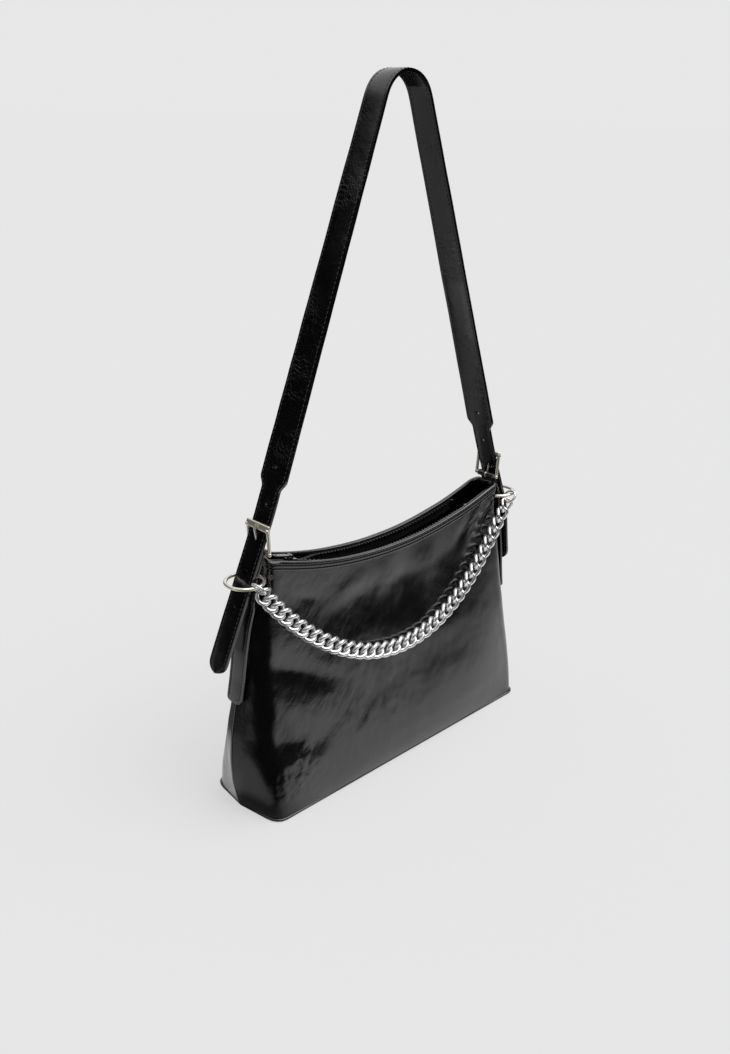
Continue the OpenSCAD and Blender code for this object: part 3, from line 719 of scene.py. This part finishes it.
def rim_band(name, node, back):
    cols = 220
    points = np.stack([body_points(cols, lambda rim, d=drop: (rim - d)[None, :], inset, 0.2)[0]
                       for drop, inset in BAND_PROFILE])
    relaxed(points.swapaxes(0, 1), 4)
    points[..., 2] += 0.25 * wander(points, 24, 2.2)
    if back:
        points = mirrored(points)
    piece = closed_grid(points)
    modify(piece, "SUBSURF", levels=1, render_levels=1)
    finish_piece(piece, name, TRIM_LEATHER, "bag", [node])
    return points


FRONT_BAND = rim_band("front_rim_binding", "front_rim_band", False)
BACK_BAND = rim_band("back_rim_binding", "back_rim_band", True)


# Stitches: one short thread is modelled and laid along each seam

STITCH_L, STITCH_R, STITCH_LEAN = 2.5, 0.32, 0.12
STITCH_SEED, STITCH_FACES = template(
    added(bpy.ops.mesh.primitive_uv_sphere_add, segments=6, ring_count=5, radius=1))
STITCH_POINTS = STITCH_SEED * np.array([STITCH_R, STITCH_R, STITCH_L / 2]) * MM


def stitches(name, runs, body="bag", pitch=3.2):
    """Threads along the runs, each a line of points and their outward directions, in mm."""
    places, faces = [], []
    for line, outs in runs:
        run = lengths_along(line)
        for l in np.arange(pitch * 0.7, run[-1] - pitch * 0.6, pitch):
            middle = places_at(l, run, line)
            t = unit(places_at(l + 0.5, run, line) - middle)
            out = squared(places_at(l, run, outs), t)
            t = t * math.cos(STITCH_LEAN) + np.cross(t, out) * math.sin(STITCH_LEAN)
            base = len(places)
            places.extend(middle * MM + STITCH_POINTS @ np.array([np.cross(t, out), out, t]))
            faces += [tuple(base + i for i in f) for f in STITCH_FACES]
    piece = mesh_piece(name, places, faces)
    finish_piece(piece, name, THREAD, body)
    return piece


def band_seams(points):
    n = normals_of(points)
    return [(points[row, 4:-4] + n[row, 4:-4] * 0.12, n[row, 4:-4]) for row in GROOVE_ROWS]


stitches("rim_stitching", band_seams(FRONT_BAND) + band_seams(BACK_BAND))


# Piping in the side seams and round the foot

def side_piping(name, node, side):
    shares = np.linspace(0.018, 0.955, 60)
    x = relaxed(seam_x(shares), 4)
    line = [(side * (a - 0.75), 0, v * BAG_H) for a, v in zip(x, shares)]
    finish_piece(wire(line, PIPING_R), name, TRIM_LEATHER, "bag", [node])


side_piping("left_side_piping", "left_seam_piping", -1)
side_piping("right_side_piping", "right_seam_piping", 1)


def foot_line(inset, z, cols):
    """The foot's outline at a height, without points that lie close together."""
    front = body_points(cols, lambda rim: np.zeros((1, len(rim))) + 0.001, inset, 0.0)[0]
    line = [(p[0], p[1], z) for p in front] + [(p[0], -p[1], z) for p in front[::-1]]
    least = 0.6
    kept = [line[0]]
    for p in line[1:]:
        if math.dist(p, kept[-1]) > least:
            kept.append(p)
    return kept if math.dist(kept[0], kept[-1]) > least else kept[:-1]


finish_piece(wire(foot_line(0.1, BOTTOM_T / 2 + 0.1, 120), PIPING_R, closed=True), "foot_piping",
             TRIM_LEATHER, "bag", ["bottom_seam_piping"])


def foot_sheet():
    """The bottom: the foot's outline filled and given its thickness, with soft edges."""
    line = foot_line(1.0, 0.0, 80)
    piece = mesh_piece("foot", np.array(line) * MM, [tuple(range(len(line)))])
    edited(piece, lambda: bpy.ops.mesh.extrude_region_move(
        TRANSFORM_OT_translate={"value": (0, 0, BOTTOM_T * MM)}))
    softened(piece, 0.7, angle=50)
    finish_piece(piece, "bottom_leather", TRIM_LEATHER, "bag", ["bottom_panel"])


foot_sheet()


# Lining: a bowl that starts at the middle of its floor, with soft folds

def lining():
    inset, low, top_drop = LEATHER_T + 0.35, BOTTOM_T + 2.3, BAND_H - 2
    height = np.linspace(0, 1, 36)[:, None]
    wall = eased(body_points(150, lambda rim: low + height * (rim - top_drop - low), inset, 0.0), 4)
    relief = 0.9 * wander(wall, 22, 5.0) + 0.5 * wander(wall, 9, 1.0)
    edge = np.minimum(1, np.minimum(height, 1 - height) * 8)
    wall = wall - normals_of(wall) * (np.maximum(0, 0.8 + relief) * edge)[..., None]
    around = np.concatenate([wall, mirrored(wall)[:, 1:]], axis=1)
    floor = [np.concatenate([around[0][:, :2] * k, np.full((around.shape[1], 1), low)], axis=1)
             for k in (0.0, 0.4, 0.8)]
    piece = merged(laid_grid(np.concatenate([np.stack(floor), around])))
    modify(piece, "SOLIDIFY", thickness=LINING_T * MM * 0.8, offset=-1)
    finish_piece(piece, "bag_lining", LINING, "bag", ["lining"])


lining()


# Zip tapes: woven strips that open out from the slider

ZIP_LEFT, ZIP_RIGHT, ZIP_CLOSED, ZIP_OPEN = -0.93, 0.7, -0.7, -0.5
TAPE_T, TAPE_H, TAPE_DROP = 0.8, 8.0, 2.0


def tape_y(x):
    shut, apart = 0.9 + 0.15, MOUTH_D / 2 - 3.1 - 0.3 - TAPE_T
    return mix(shut, apart, smooth((2 * x / MOUTH_W - ZIP_CLOSED) / (ZIP_OPEN - ZIP_CLOSED)))


def zip_tape(name, node, side):
    x = np.linspace(ZIP_LEFT, ZIP_RIGHT, 90) * MOUTH_W / 2
    top = rim_z(2 * x / MOUTH_W) - TAPE_DROP
    points = np.stack([np.stack([x, side * (tape_y(x) + 0.1 * np.sin(x / 9 + d)), top - d], -1)
                       for d in (TAPE_H, 6, 4, 2, 0.1)])
    if side > 0:
        points = points[:, ::-1]
    piece = laid_grid(points)
    modify(piece, "SOLIDIFY", thickness=TAPE_T * MM * 0.9, offset=1)
    finish_piece(piece, name, TAPE, "bag", [node])


zip_tape("front_tape", "front_zip_tape", -1)
zip_tape("back_tape", "back_zip_tape", 1)


# Strap: one piece from tail to tail over the crown

FLEX_X, FLEX_Z = MOUTH_W / 2 - 7, BAG_H + 32
CROWN_W, LEG_W, END_W, STRAP_T, TAIL_L, HOLE_PITCH = 20.0, 26.5, 18.0, 3.0, 120.0, 25.4
TOP_Z, CROWN_R = BAG_H + 322, 22.8
CROWN_Z = TOP_Z - STRAP_T / 2 - CROWN_R
LEG_LEAN = math.atan2(FLEX_X, CROWN_Z - FLEX_Z) - math.asin(CROWN_R / math.hypot(FLEX_X, CROWN_Z - FLEX_Z))
TAIL_LEAN, DROOP_LEAN = math.radians(23), math.radians(9)
HEEL = np.array([MOUTH_W / 2 - 1.7, 0, BAG_H + 4])
BAR_R = 1.3
TIP_TO_PRONG, HOLE_R = 19.7, 1.35


def strap_path():
    """The strap's middle line in x and z from the left tail to the right tail, with its length along it.
    The right tail droops below its ring."""
    half = [(FLEX_X, FLEX_Z)]
    for a in np.linspace(LEG_LEAN, math.pi / 2, 60):
        half.append((CROWN_R * math.cos(a), CROWN_Z + CROWN_R * math.sin(a)))
    left_tip = (-FLEX_X - TAIL_L * math.sin(TAIL_LEAN), FLEX_Z - TAIL_L * math.cos(TAIL_LEAN))
    right = [(FLEX_X, FLEX_Z)]
    step = 4
    for l in np.arange(step, TAIL_L + 1, step):
        lean = mix(TAIL_LEAN, DROOP_LEAN, float(smooth((l - 58) / 16)))
        right.append((right[-1][0] + step * math.sin(lean), right[-1][1] - step * math.cos(lean)))
    line = np.array([left_tip] + [(-x, z) for x, z in half] + half[-2::-1] + right[1:])
    run = lengths_along(line)
    tip = np.array([0, 0.1, 0.4, 0.9, 1.6, 2.5, 3.6, 4.8, 6.1])
    even = np.concatenate([tip, np.linspace(7.5, run[-1] - 7.5, 420), run[-1] - tip[::-1]])
    return relaxed(places_at(even, run, line), 6), even


def strap_half_width(l, total):
    """Half width at a length from a tail's tip: round tip, narrow end, wide leg and narrower crown."""
    l = np.minimum(l, total - l)
    narrow = END_W / 2
    tip = np.sqrt(np.clip(narrow ** 2 - np.clip(narrow - l, 0, narrow) ** 2, 0.3, None))
    wide = TAIL_L + 15.5 / math.cos(LEG_LEAN)
    leg = mix(LEG_W, CROWN_W, np.clip((l - wide - 6) / (total / 2 - wide - 6), 0, 1)) / 2
    return np.where(l < narrow, tip, mix(narrow, leg, smooth((l - wide) / 8)))


def out_of(path):
    """Unit directions in x and z, square to the path and to its left."""
    ahead = np.gradient(path, axis=0)
    ahead /= np.linalg.norm(ahead, axis=1, keepdims=True)
    return np.stack([-ahead[:, 1], ahead[:, 0]], -1)


def both_ways(*shares):
    return np.array([-s for s in shares[::-1]] + [0] + list(shares))


def puffed(across, height, edge, groove, groove_at, groove_w):
    """Height of a padded face at shares of its half width, with a groove for the stitches."""
    pad = height * (1 - np.abs(across / edge).clip(0, 1) ** 3)
    return pad - groove * np.exp(-((np.abs(across) - groove_at) / groove_w) ** 2)


def face_of(path, out, half, across, rise):
    """One face of a strip, as a grid of points raised off its middle line."""
    x, z = (path[:, k:k + 1] + out[:, k:k + 1] * rise for k in (0, 1))
    return np.stack([x, half[:, None] * across, z], -1)


def strip(outer, inner):
    return closed_grid(np.concatenate([outer, inner[:, ::-1], outer[:, :1]], axis=1))


def seam(path, out, y, rise, span):
    """A seam's points at a rise off the strip's middle line, and the ways out of that face."""
    out = out * np.sign(rise)
    return [np.insert(a, 1, b, axis=1)[span] for a, b in ((path + out * abs(rise), y), (out, 0))]


def make_strap():
    path, run = strap_path()
    total = run[-1]
    half = strap_half_width(run, total)
    out = out_of(path)
    across = both_ways(0.3, 0.6, 0.78, 0.88, 0.96, 1)
    rise = STRAP_T / 2 - 0.35
    puff = puffed(across, 0.3, 0.8, 0.18, 0.84, 0.06)
    outer, inner = (face_of(path, out, half, across, k * (rise + puff)) for k in (1, -1))
    wobble = 0.25 * wander(outer, 20, 4.0)
    sway = np.stack([out[:, :1] * wobble, 0 * wobble, out[:, 1:] * wobble], -1)
    piece = strip(outer + sway, inner + sway)
    holes = TAIL_L - TIP_TO_PRONG + HOLE_PITCH * np.arange(-2, 3)
    pins = []
    for at in [*holes, *(total - holes)]:
        i = int(np.argmin(np.abs(run - at)))
        pin = added(bpy.ops.mesh.primitive_cylinder_add, vertices=24, radius=HOLE_R * MM, depth=10 * MM)
        pin.matrix_world = stood((path[i, 0], 0, path[i, 1]), (out[i, 0], 0, out[i, 1]))
        pins.append(pin)
    cut(piece, joined(pins))
    softened(piece, 0.55, angle=48)
    finish_piece(piece, "shoulder_strap", STRAP_LEATHER, None,
                 ["strap_arch", "left_strap_end", "right_strap_end"], angle=40)
    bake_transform(piece)
    runs = [seam(path, out, (half - 2.0) * k, face * rise, slice(6, -6)) for k in (-1, 1) for face in (1, -1)]
    seams = stitches("strap_stitching", runs, None, 3.4)
    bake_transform(seams)


make_strap()


# Side tabs: from the side seam up through the keeper ring and round the heel bar

TAB_W, TAB_T, TAB_LOW, TAB_CORNER_R = 15.5, 2.2, 93.0, 3.6
THIN_T, THIN_L = 1.9, 24


def tab_path():
    """Middle line of a right tab in x and z, from its low end to the inner end of its loop."""
    line = []
    for share in (TAB_LOW / BAG_H, 0.5, 0.55, 0.6, 0.66, 0.71, 0.76, 0.82):
        line.append((float(seam_x(np.array(share))) + 0.45 + TAB_T / 2, share * BAG_H))
    line.append((MOUTH_W / 2 + 7.4 + TAB_T / 2, BAG_H - KEEPER_DROP))
    loop_r = BAR_R + 0.1 + 1.0
    for a in np.radians(np.linspace(-10, 215, 16)):
        line.append((HEEL[0] + loop_r * math.cos(a), HEEL[2] + loop_r * math.sin(a)))
    line = np.array(line)
    run = lengths_along(line)
    even = np.linspace(0, run[-1], 120)
    return relaxed(places_at(even, run, line), 3), even


def make_tab(name, node, side):
    path, run = tab_path()
    out = -out_of(path)
    flip = np.array([side, 1, 1])
    r = TAB_CORNER_R
    half = TAB_W / 2 - (r - np.sqrt(np.clip(r ** 2 - np.clip(r - run, 0, r) ** 2, 0.0, None)))
    thick = np.where(run > run[-1] - THIN_L, THIN_T, TAB_T)[:, None]
    across = both_ways(0.25, 0.55, 0.76, 0.86, 0.95, 1)
    puff = puffed(across, 0.22, 0.76, 0.15, 0.78, 0.07) - 0.2
    outer = face_of(path, out, half, across, thick / 2 + puff)
    inner = face_of(path, out, half, across, -thick / 2 + 0 * puff)
    piece = strip(outer * flip, inner * flip)
    slit = block((14, 3.2, 12))
    slit.location = (side * HEEL[0] * MM, 0, (HEEL[2] + 3.2) * MM)
    cut(piece, slit)
    softened(piece, 0.45, angle=50)
    finish_piece(piece, name, TRIM_LEATHER, "bag", [node], angle=40)
    runs = [[a * flip for a in seam(path, out, (half - 1.7) * k, 1.0, slice(3, 82))] for k in (-1, 1)]
    low_ends = [line[0] for line, outs in runs]
    runs.append((np.linspace(*low_ends, 12), np.repeat(runs[0][1][:1], 12, axis=0)))
    stitches(name + "_stitching", runs, pitch=2.9)


make_tab("left_side_tab", "left_tab", -1)
make_tab("right_side_tab", "right_tab", 1)


# Buckles: a bent frame with a flat top bar, and a prong through the strap

BUCKLE_HALF = 24 / 2 - BAR_R
KNUCKLE_R = 1.6
TOP_BAR_Z = HEEL[2] + 19.5


def strap_x(z):
    return FLEX_X + (FLEX_Z - z) * math.tan(TAIL_LEAN)


TOP_BAR = np.array([strap_x(TOP_BAR_Z) + (STRAP_T / 2 + 0.3 + 1.1) / math.cos(TAIL_LEAN), 0, TOP_BAR_Z])
LEAN_OUT = np.array([math.cos(TAIL_LEAN), 0, math.sin(TAIL_LEAN)])
LEAN_UP = np.array([-math.sin(TAIL_LEAN), 0, math.cos(TAIL_LEAN)])


def make_buckle(side_name, side):
    arm = np.array([0, BUCKLE_HALF, 0])
    flip = np.array([side, 1, 1])
    corners = [TOP_BAR + arm, HEEL + arm, HEEL - arm, TOP_BAR - arm]
    frame_wire = wire([p * flip for p in rounded_path(corners, 2.6, 6)], BAR_R, sides=24)
    plate = block((2.2, 2 * BUCKLE_HALF + 2 * BAR_R, 5))
    only(plate)
    bpy.ops.object.transform_apply(scale=True)
    softened(plate, 0.95, 5)
    turn = Matrix.Rotation(-TAIL_LEAN * side, 4, "Y")
    plate.matrix_world = Matrix.Translation(Vector(TOP_BAR * flip * MM)) @ turn
    balls = []
    for k in (-1, 1):
        for place in (TOP_BAR + arm * k - LEAN_UP * 1.3, HEEL + arm * k):
            ball = added(bpy.ops.mesh.primitive_uv_sphere_add, segments=24, ring_count=14,
                         radius=KNUCKLE_R * MM)
            ball.location = Vector(place * flip * MM)
            balls.append(ball)
    finish_piece(joined([frame_wire, plate] + balls), side_name + "_buckle", GOLD, "bag",
                 [side_name + "_buckle_frame"], angle=45)
    knee = TOP_BAR + LEAN_OUT * 2.25 - LEAN_UP * 2.35
    tip = TOP_BAR + LEAN_OUT * 2.25 + LEAN_UP * 1.4
    line = rounded_path([HEEL + np.array([1.0, 0, 1.8]), knee, tip], 1.2, 4)
    tongue = wire([p * flip for p in line], 1.0, sides=20, round_ends=True)
    eye = torus(BAR_R + 0.65, 0.58, 32, 12)
    eye.scale.z = 2.1
    only(eye)
    bpy.ops.object.transform_apply(scale=True)
    eye.matrix_world = Matrix.Translation(Vector(HEEL * flip * MM)) @ Matrix.Rotation(math.pi / 2, 4, "X")
    finish_piece(joined([tongue, eye]), side_name + "_buckle_prong", GOLD, "bag",
                 [side_name + "_prong"], angle=45)


make_buckle("left", -1)
make_buckle("right", 1)


# Rivets with a low dome, at the corners of the mouth

RIVET_SHARE, RIVET_FACING = 0.935, math.radians(50)


def make_rivets():
    spot = half_outline(np.array([(SIDE_END + CORNER_END) / 2]), np.array([RIVET_SHARE]), -0.1, 1.25)[0]
    made = []
    for side in (-1, 1):
        for front in (-1, 1):
            cap = added(bpy.ops.mesh.primitive_cylinder_add, vertices=40, radius=2.0 * MM, depth=1.1 * MM)
            softened(cap, 0.5, 5)
            cap.matrix_world = stood(
                (spot[0] * side, abs(spot[1]) * front, RIVET_SHARE * BAG_H),
                (math.cos(RIVET_FACING) * side, math.sin(RIVET_FACING) * front, 0))
            made.append(cap)
    finish_piece(joined(made), "corner_rivets", moulded("dark_rivet", 0.05, 0.12), "bag",
                 ["mouth_rivets"])


make_rivets()


# Keeper rings

KEEPER = np.array([MOUTH_W / 2 + 13.7, -1.9, BAG_H - KEEPER_DROP])
KEEPER_R, KEEPER_WIRE = 13.7, 1.3


def make_keeper(name, node, side, body):
    ring = torus(KEEPER_R, KEEPER_WIRE, 96, 24)
    ring.location = Vector(KEEPER * np.array([side, 1, 1]) * MM)
    finish_piece(ring, name, GOLD, body, [node])


make_keeper("left_ring_of_strap", "left_keeper_ring", -1, "left_ring")
make_keeper("right_ring_of_strap", "right_keeper_ring", 1, "right_ring")


# Chain: one link is modelled once and laid along the swag

CHAIN_SAG, CHAIN_R, CHAIN_W, LINK_PITCH, LINK_TURN = 89.0, 1.3, 14.0, 9.4, math.radians(40)
END_R, END_WIRE = 5.3, 1.05
LINK_HALF_W = (CHAIN_W - 2 * CHAIN_R) / 2
LINK_HALF_T = LINK_HALF_W * math.sqrt(0.5) * math.sin(LINK_TURN * math.sqrt(0.5)) + CHAIN_R
STOUT_R = 1.7


def catenary():
    """The catenary's scale at which it sags by CHAIN_SAG between the keepers."""
    low, high = KEEPER[0] / 10, KEEPER[0] * 10
    for _ in range(40):
        a = (low + high) / 2
        if a * (math.cosh(KEEPER[0] / a) - 1) > CHAIN_SAG:
            low = a
        else:
            high = a
    return (low + high) / 2


CHAIN_A = catenary()


def chain_point(x):
    z = KEEPER[2] - CHAIN_SAG + CHAIN_A * (math.cosh(x / CHAIN_A) - 1)
    v = min(1, z / rim_z(min(1, 2 * abs(x) / MOUTH_W)))
    lying = -face_y(v, 0.0) - LINK_HALF_T - 0.6
    end = KEEPER[1] - KEEPER_R - 0.38
    return np.array([x, mix(lying, end, float(smooth((abs(x) / KEEPER[0] - 0.86) / 0.14))), z])


CHAIN_XS = [KEEPER[0] * (2 * i / 160 - 1) for i in range(161)]
CHAIN_RUN = lengths_along(np.array([chain_point(x) for x in CHAIN_XS]))
CHAIN_L = CHAIN_RUN[-1]


def chain_at(l):
    return chain_point(float(np.interp(l, CHAIN_RUN, CHAIN_XS)))


def chain_frame(l):
    """The chain's directions at the length l: along it, out from the bag and across it."""
    t = unit(chain_at(min(CHAIN_L, l + CHAIN_R)) - chain_at(max(0, l - CHAIN_R)))
    n = squared(np.array([0, -1, 0.12]), t)
    return t, n, np.cross(n, t)


def link_template(half_l, wire_r):
    """A twisted oval link in its own directions, in mm: along, across and out."""
    seed_r = 0.25
    places, faces = template(added(bpy.ops.mesh.primitive_torus_add, major_radius=1, minor_radius=seed_r,
                                   major_segments=44, minor_segments=12))
    half_w = CHAIN_W / 2 - wire_r

    def centre(a):
        turn = -LINK_TURN * math.cos(a)
        return np.array([half_l * math.cos(a), half_w * math.sin(a) * math.cos(turn),
                         half_w * math.sin(a) * math.sin(turn)])

    made = []
    for x, y, rise in places:
        a = math.atan2(y, x)
        radial = math.hypot(x, y) - 1
        t = unit(centre(a + 0.01) - centre(a - 0.01))
        out = squared(np.array([math.cos(a), math.sin(a), 0]), t)
        made.append(centre(a) + (out * radial + np.cross(t, out) * rise) / seed_r * wire_r)
    return np.array(made), faces


def make_chain():
    hook_over = KEEPER_WIRE + END_WIRE + 1.2 + 0.04
    start = 2 * END_R - hook_over - (END_WIRE + CHAIN_R) - 0.6
    length = CHAIN_L - 2 * start - 2 * CHAIN_R - 0.3
    count = round(length / LINK_PITCH)
    pitch = length / count
    half_l = (pitch + 2 * CHAIN_R + 0.3) / 2
    slim, link_faces = link_template(half_l, CHAIN_R)
    stout, link_faces = link_template(half_l + 0.15, STOUT_R)
    places, faces = [], []
    for i in range(count):
        l = start + half_l + i * pitch
        t, n, w = chain_frame(l)
        base = len(places)
        link = slim if i in (0, count - 1) else stout
        places.extend((chain_at(l) + link @ np.array([t, w, n])) * MM)
        faces += [tuple(base + k for k in f) for f in link_faces]
    piece = merged(mesh_piece("chain", places, faces), 1e-7)
    finish_piece(piece, "chain_swag", SILVER, "chain", ["chain_links"])
    t, n, w = chain_frame(0)
    middle = chain_at(0) + (END_R - hook_over) * t
    for side_name in ("left", "right"):
        ring = torus(END_R, END_WIRE, 64, 18)
        ring.matrix_world = Matrix.Translation(Vector(middle * MM)) @ Matrix((t, n, w)).transposed().to_4x4()
        only(ring)
        bpy.ops.object.transform_apply(location=True, rotation=True, scale=True)
        if side_name == "right":
            for v in ring.data.vertices:
                v.co.x = -v.co.x
            merged(ring)
        finish_piece(ring, side_name + "_end_ring", SILVER, "chain",
                     [side_name + "_chain_ring"])


make_chain()


# Nodes that keep their own shape get their finish

for node, material in (("base_board", BOARD), ("front_zip_teeth", TEETH), ("back_zip_teeth", TEETH),
                       ("zip_stops", ZIP_METAL), ("zip_slider", ZIP_METAL), ("zip_puller", ZIP_METAL)):
    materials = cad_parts[node].data.materials
    materials.clear()
    materials.append(material)


# Studio: pale floor, pale background, one wide soft light from above, and reflections painted on the floor
# and sky for glossy rays alone

# The second level is the painted near-black floor that glossy rays see beyond the white zones.
PALE, PAINTED_REFLECTION_DARK = 0.8, 0.012
SKY_FILL = 0.42
SUN_SHARE = 0.58
SUN_FROM = Vector((0.38, -0.42, 1)).normalized()
FOOT_END, FOOT_FACE = 0.12, 0.03


def make_floor():
    """A pale floor. Glossy rays alone see reflections painted on it: white in front of the bag, past its left
    end and behind it, painted near black beyond these, and a strip close behind the bag that glows for them
    and paints a bright reflection."""
    floor = added(bpy.ops.mesh.primitive_plane_add, size=80)
    floor.name = "floor"
    paper = Finish("pale_paper", {"Roughness": 0.9, "Specular IOR Level": 0.1})
    grain = paper.cloudy(paper.place, 3.0, 2.0)
    paper.looks(Base_Color=paper.blend(grain, grey(PALE * 0.99), grey(PALE)))
    x, y, z = paper.parts(paper.place)
    past_end = (x.absolute() - FOOT_END).above_zero()
    past_face = (y.absolute() - FOOT_FACE).above_zero()
    distance = (past_end * past_end + past_face * past_face).root()
    # Painted reflection: glossy rays see the floor white only inside the masks front, left, beside and
    # behind, and painted near black everywhere else.
    right_of_corner = ((x + 0.135) * 0.99 + (y + 0.035) * 0.139).ramp(-0.03, 0.03)
    front = (1 - distance.ramp(0.15, 0.7)) * right_of_corner * (1 - y.ramp(0.0, 0.03))
    left = (1 - x.ramp(-0.17, -0.155)) * y.ramp(-0.07, -0.03) * (0.5 - distance.ramp(0.12, 0.3) * 0.2)
    beside = x.ramp(-0.24, -0.18) * y.ramp(0.07, 0.13) * (0.88 - y.ramp(0.19, 0.24) * 0.38)
    behind = y.ramp(0.0, 0.04) * (1 - distance.ramp(0.15, 0.48)) * (1 - beside) * 0.8
    painted_reflection_card = (front + left + behind).clipped()
    # Painted highlight: glossy rays see this strip close behind the bag glow, brighter than the floor's own
    # light in the bag's shadow there.
    painted_highlight_strip = y.ramp(0.0, 0.02) * (1 - y.ramp(0.07, 0.12)) * 0.8
    gloss = paper.node("ShaderNodeLightPath", out="Is Glossy Ray")
    seen = paper.node("ShaderNodeLightPath", out="Is Camera Ray")
    painted_dark_reflection = paper.node("ShaderNodeBsdfDiffuse", None, {"Color": grey(PAINTED_REFLECTION_DARK)})
    glow = paper.node("ShaderNodeEmission", None, {"Color": grey(PALE)})
    # Camera rays see the pale glow as the background; glossy rays see the painted dark floor and the painted
    # bright strip.
    plain = paper.node("ShaderNodeMixShader", None, {0: gloss * (1 - painted_reflection_card), 1: paper.lit, 2: painted_dark_reflection})
    background_glow_and_painted_highlight = seen * 0.7 + gloss * painted_highlight_strip
    whole = paper.node("ShaderNodeMixShader", None, {0: background_glow_and_painted_highlight, 1: plain, 2: glow})
    paper.feed(paper.output, {"Surface": whole})
    floor.data.materials.append(paper.material)


def make_light():
    rest()
    bpy.ops.object.light_add(type="SUN")
    sun = bpy.context.object
    sun.data.energy = SUN_SHARE * math.pi / SUN_FROM.z
    sun.data.angle = math.radians(70)
    sun.rotation_euler = SUN_FROM.to_track_quat("Z", "Y").to_euler()
    world = bpy.data.worlds.new("studio")
    bpy.context.scene.world = world
    world.use_nodes = True
    sky = Nodes(world.node_tree)
    seen, mirrored_ray, through = (sky.node("ShaderNodeLightPath", out=f"Is {kind} Ray")
                                   for kind in ("Camera", "Glossy", "Transmission"))
    x, y, z = sky.parts(sky.node("ShaderNodeTexCoord", out="Generated"))
    # Painted reflections: glossy rays alone see the backdrop and overhead zones bright and the rest of the
    # sky near black, while diffuse light sees an even sky.
    backdrop = (x * 0.7 + y * 0.7).ramp(0.5, 0.85)
    overhead = z.ramp(0.36, 0.66)
    studio = (backdrop + overhead).clipped()
    pale = (seen + through + mirrored_ray * studio).clipped()
    level = pale * (PALE - SKY_FILL) + SKY_FILL
    level = level * (1 - mirrored_ray * (1 - studio) * 0.98)
    shine = sky.node("ShaderNodeBackground", None, {"Color": grey(1.0), "Strength": level})
    sky.feed(sky.tree.nodes.new("ShaderNodeOutputWorld"), {"Surface": shine})


make_floor()
make_light()

bpy.context.scene.view_settings.view_transform = "Standard"
rest()
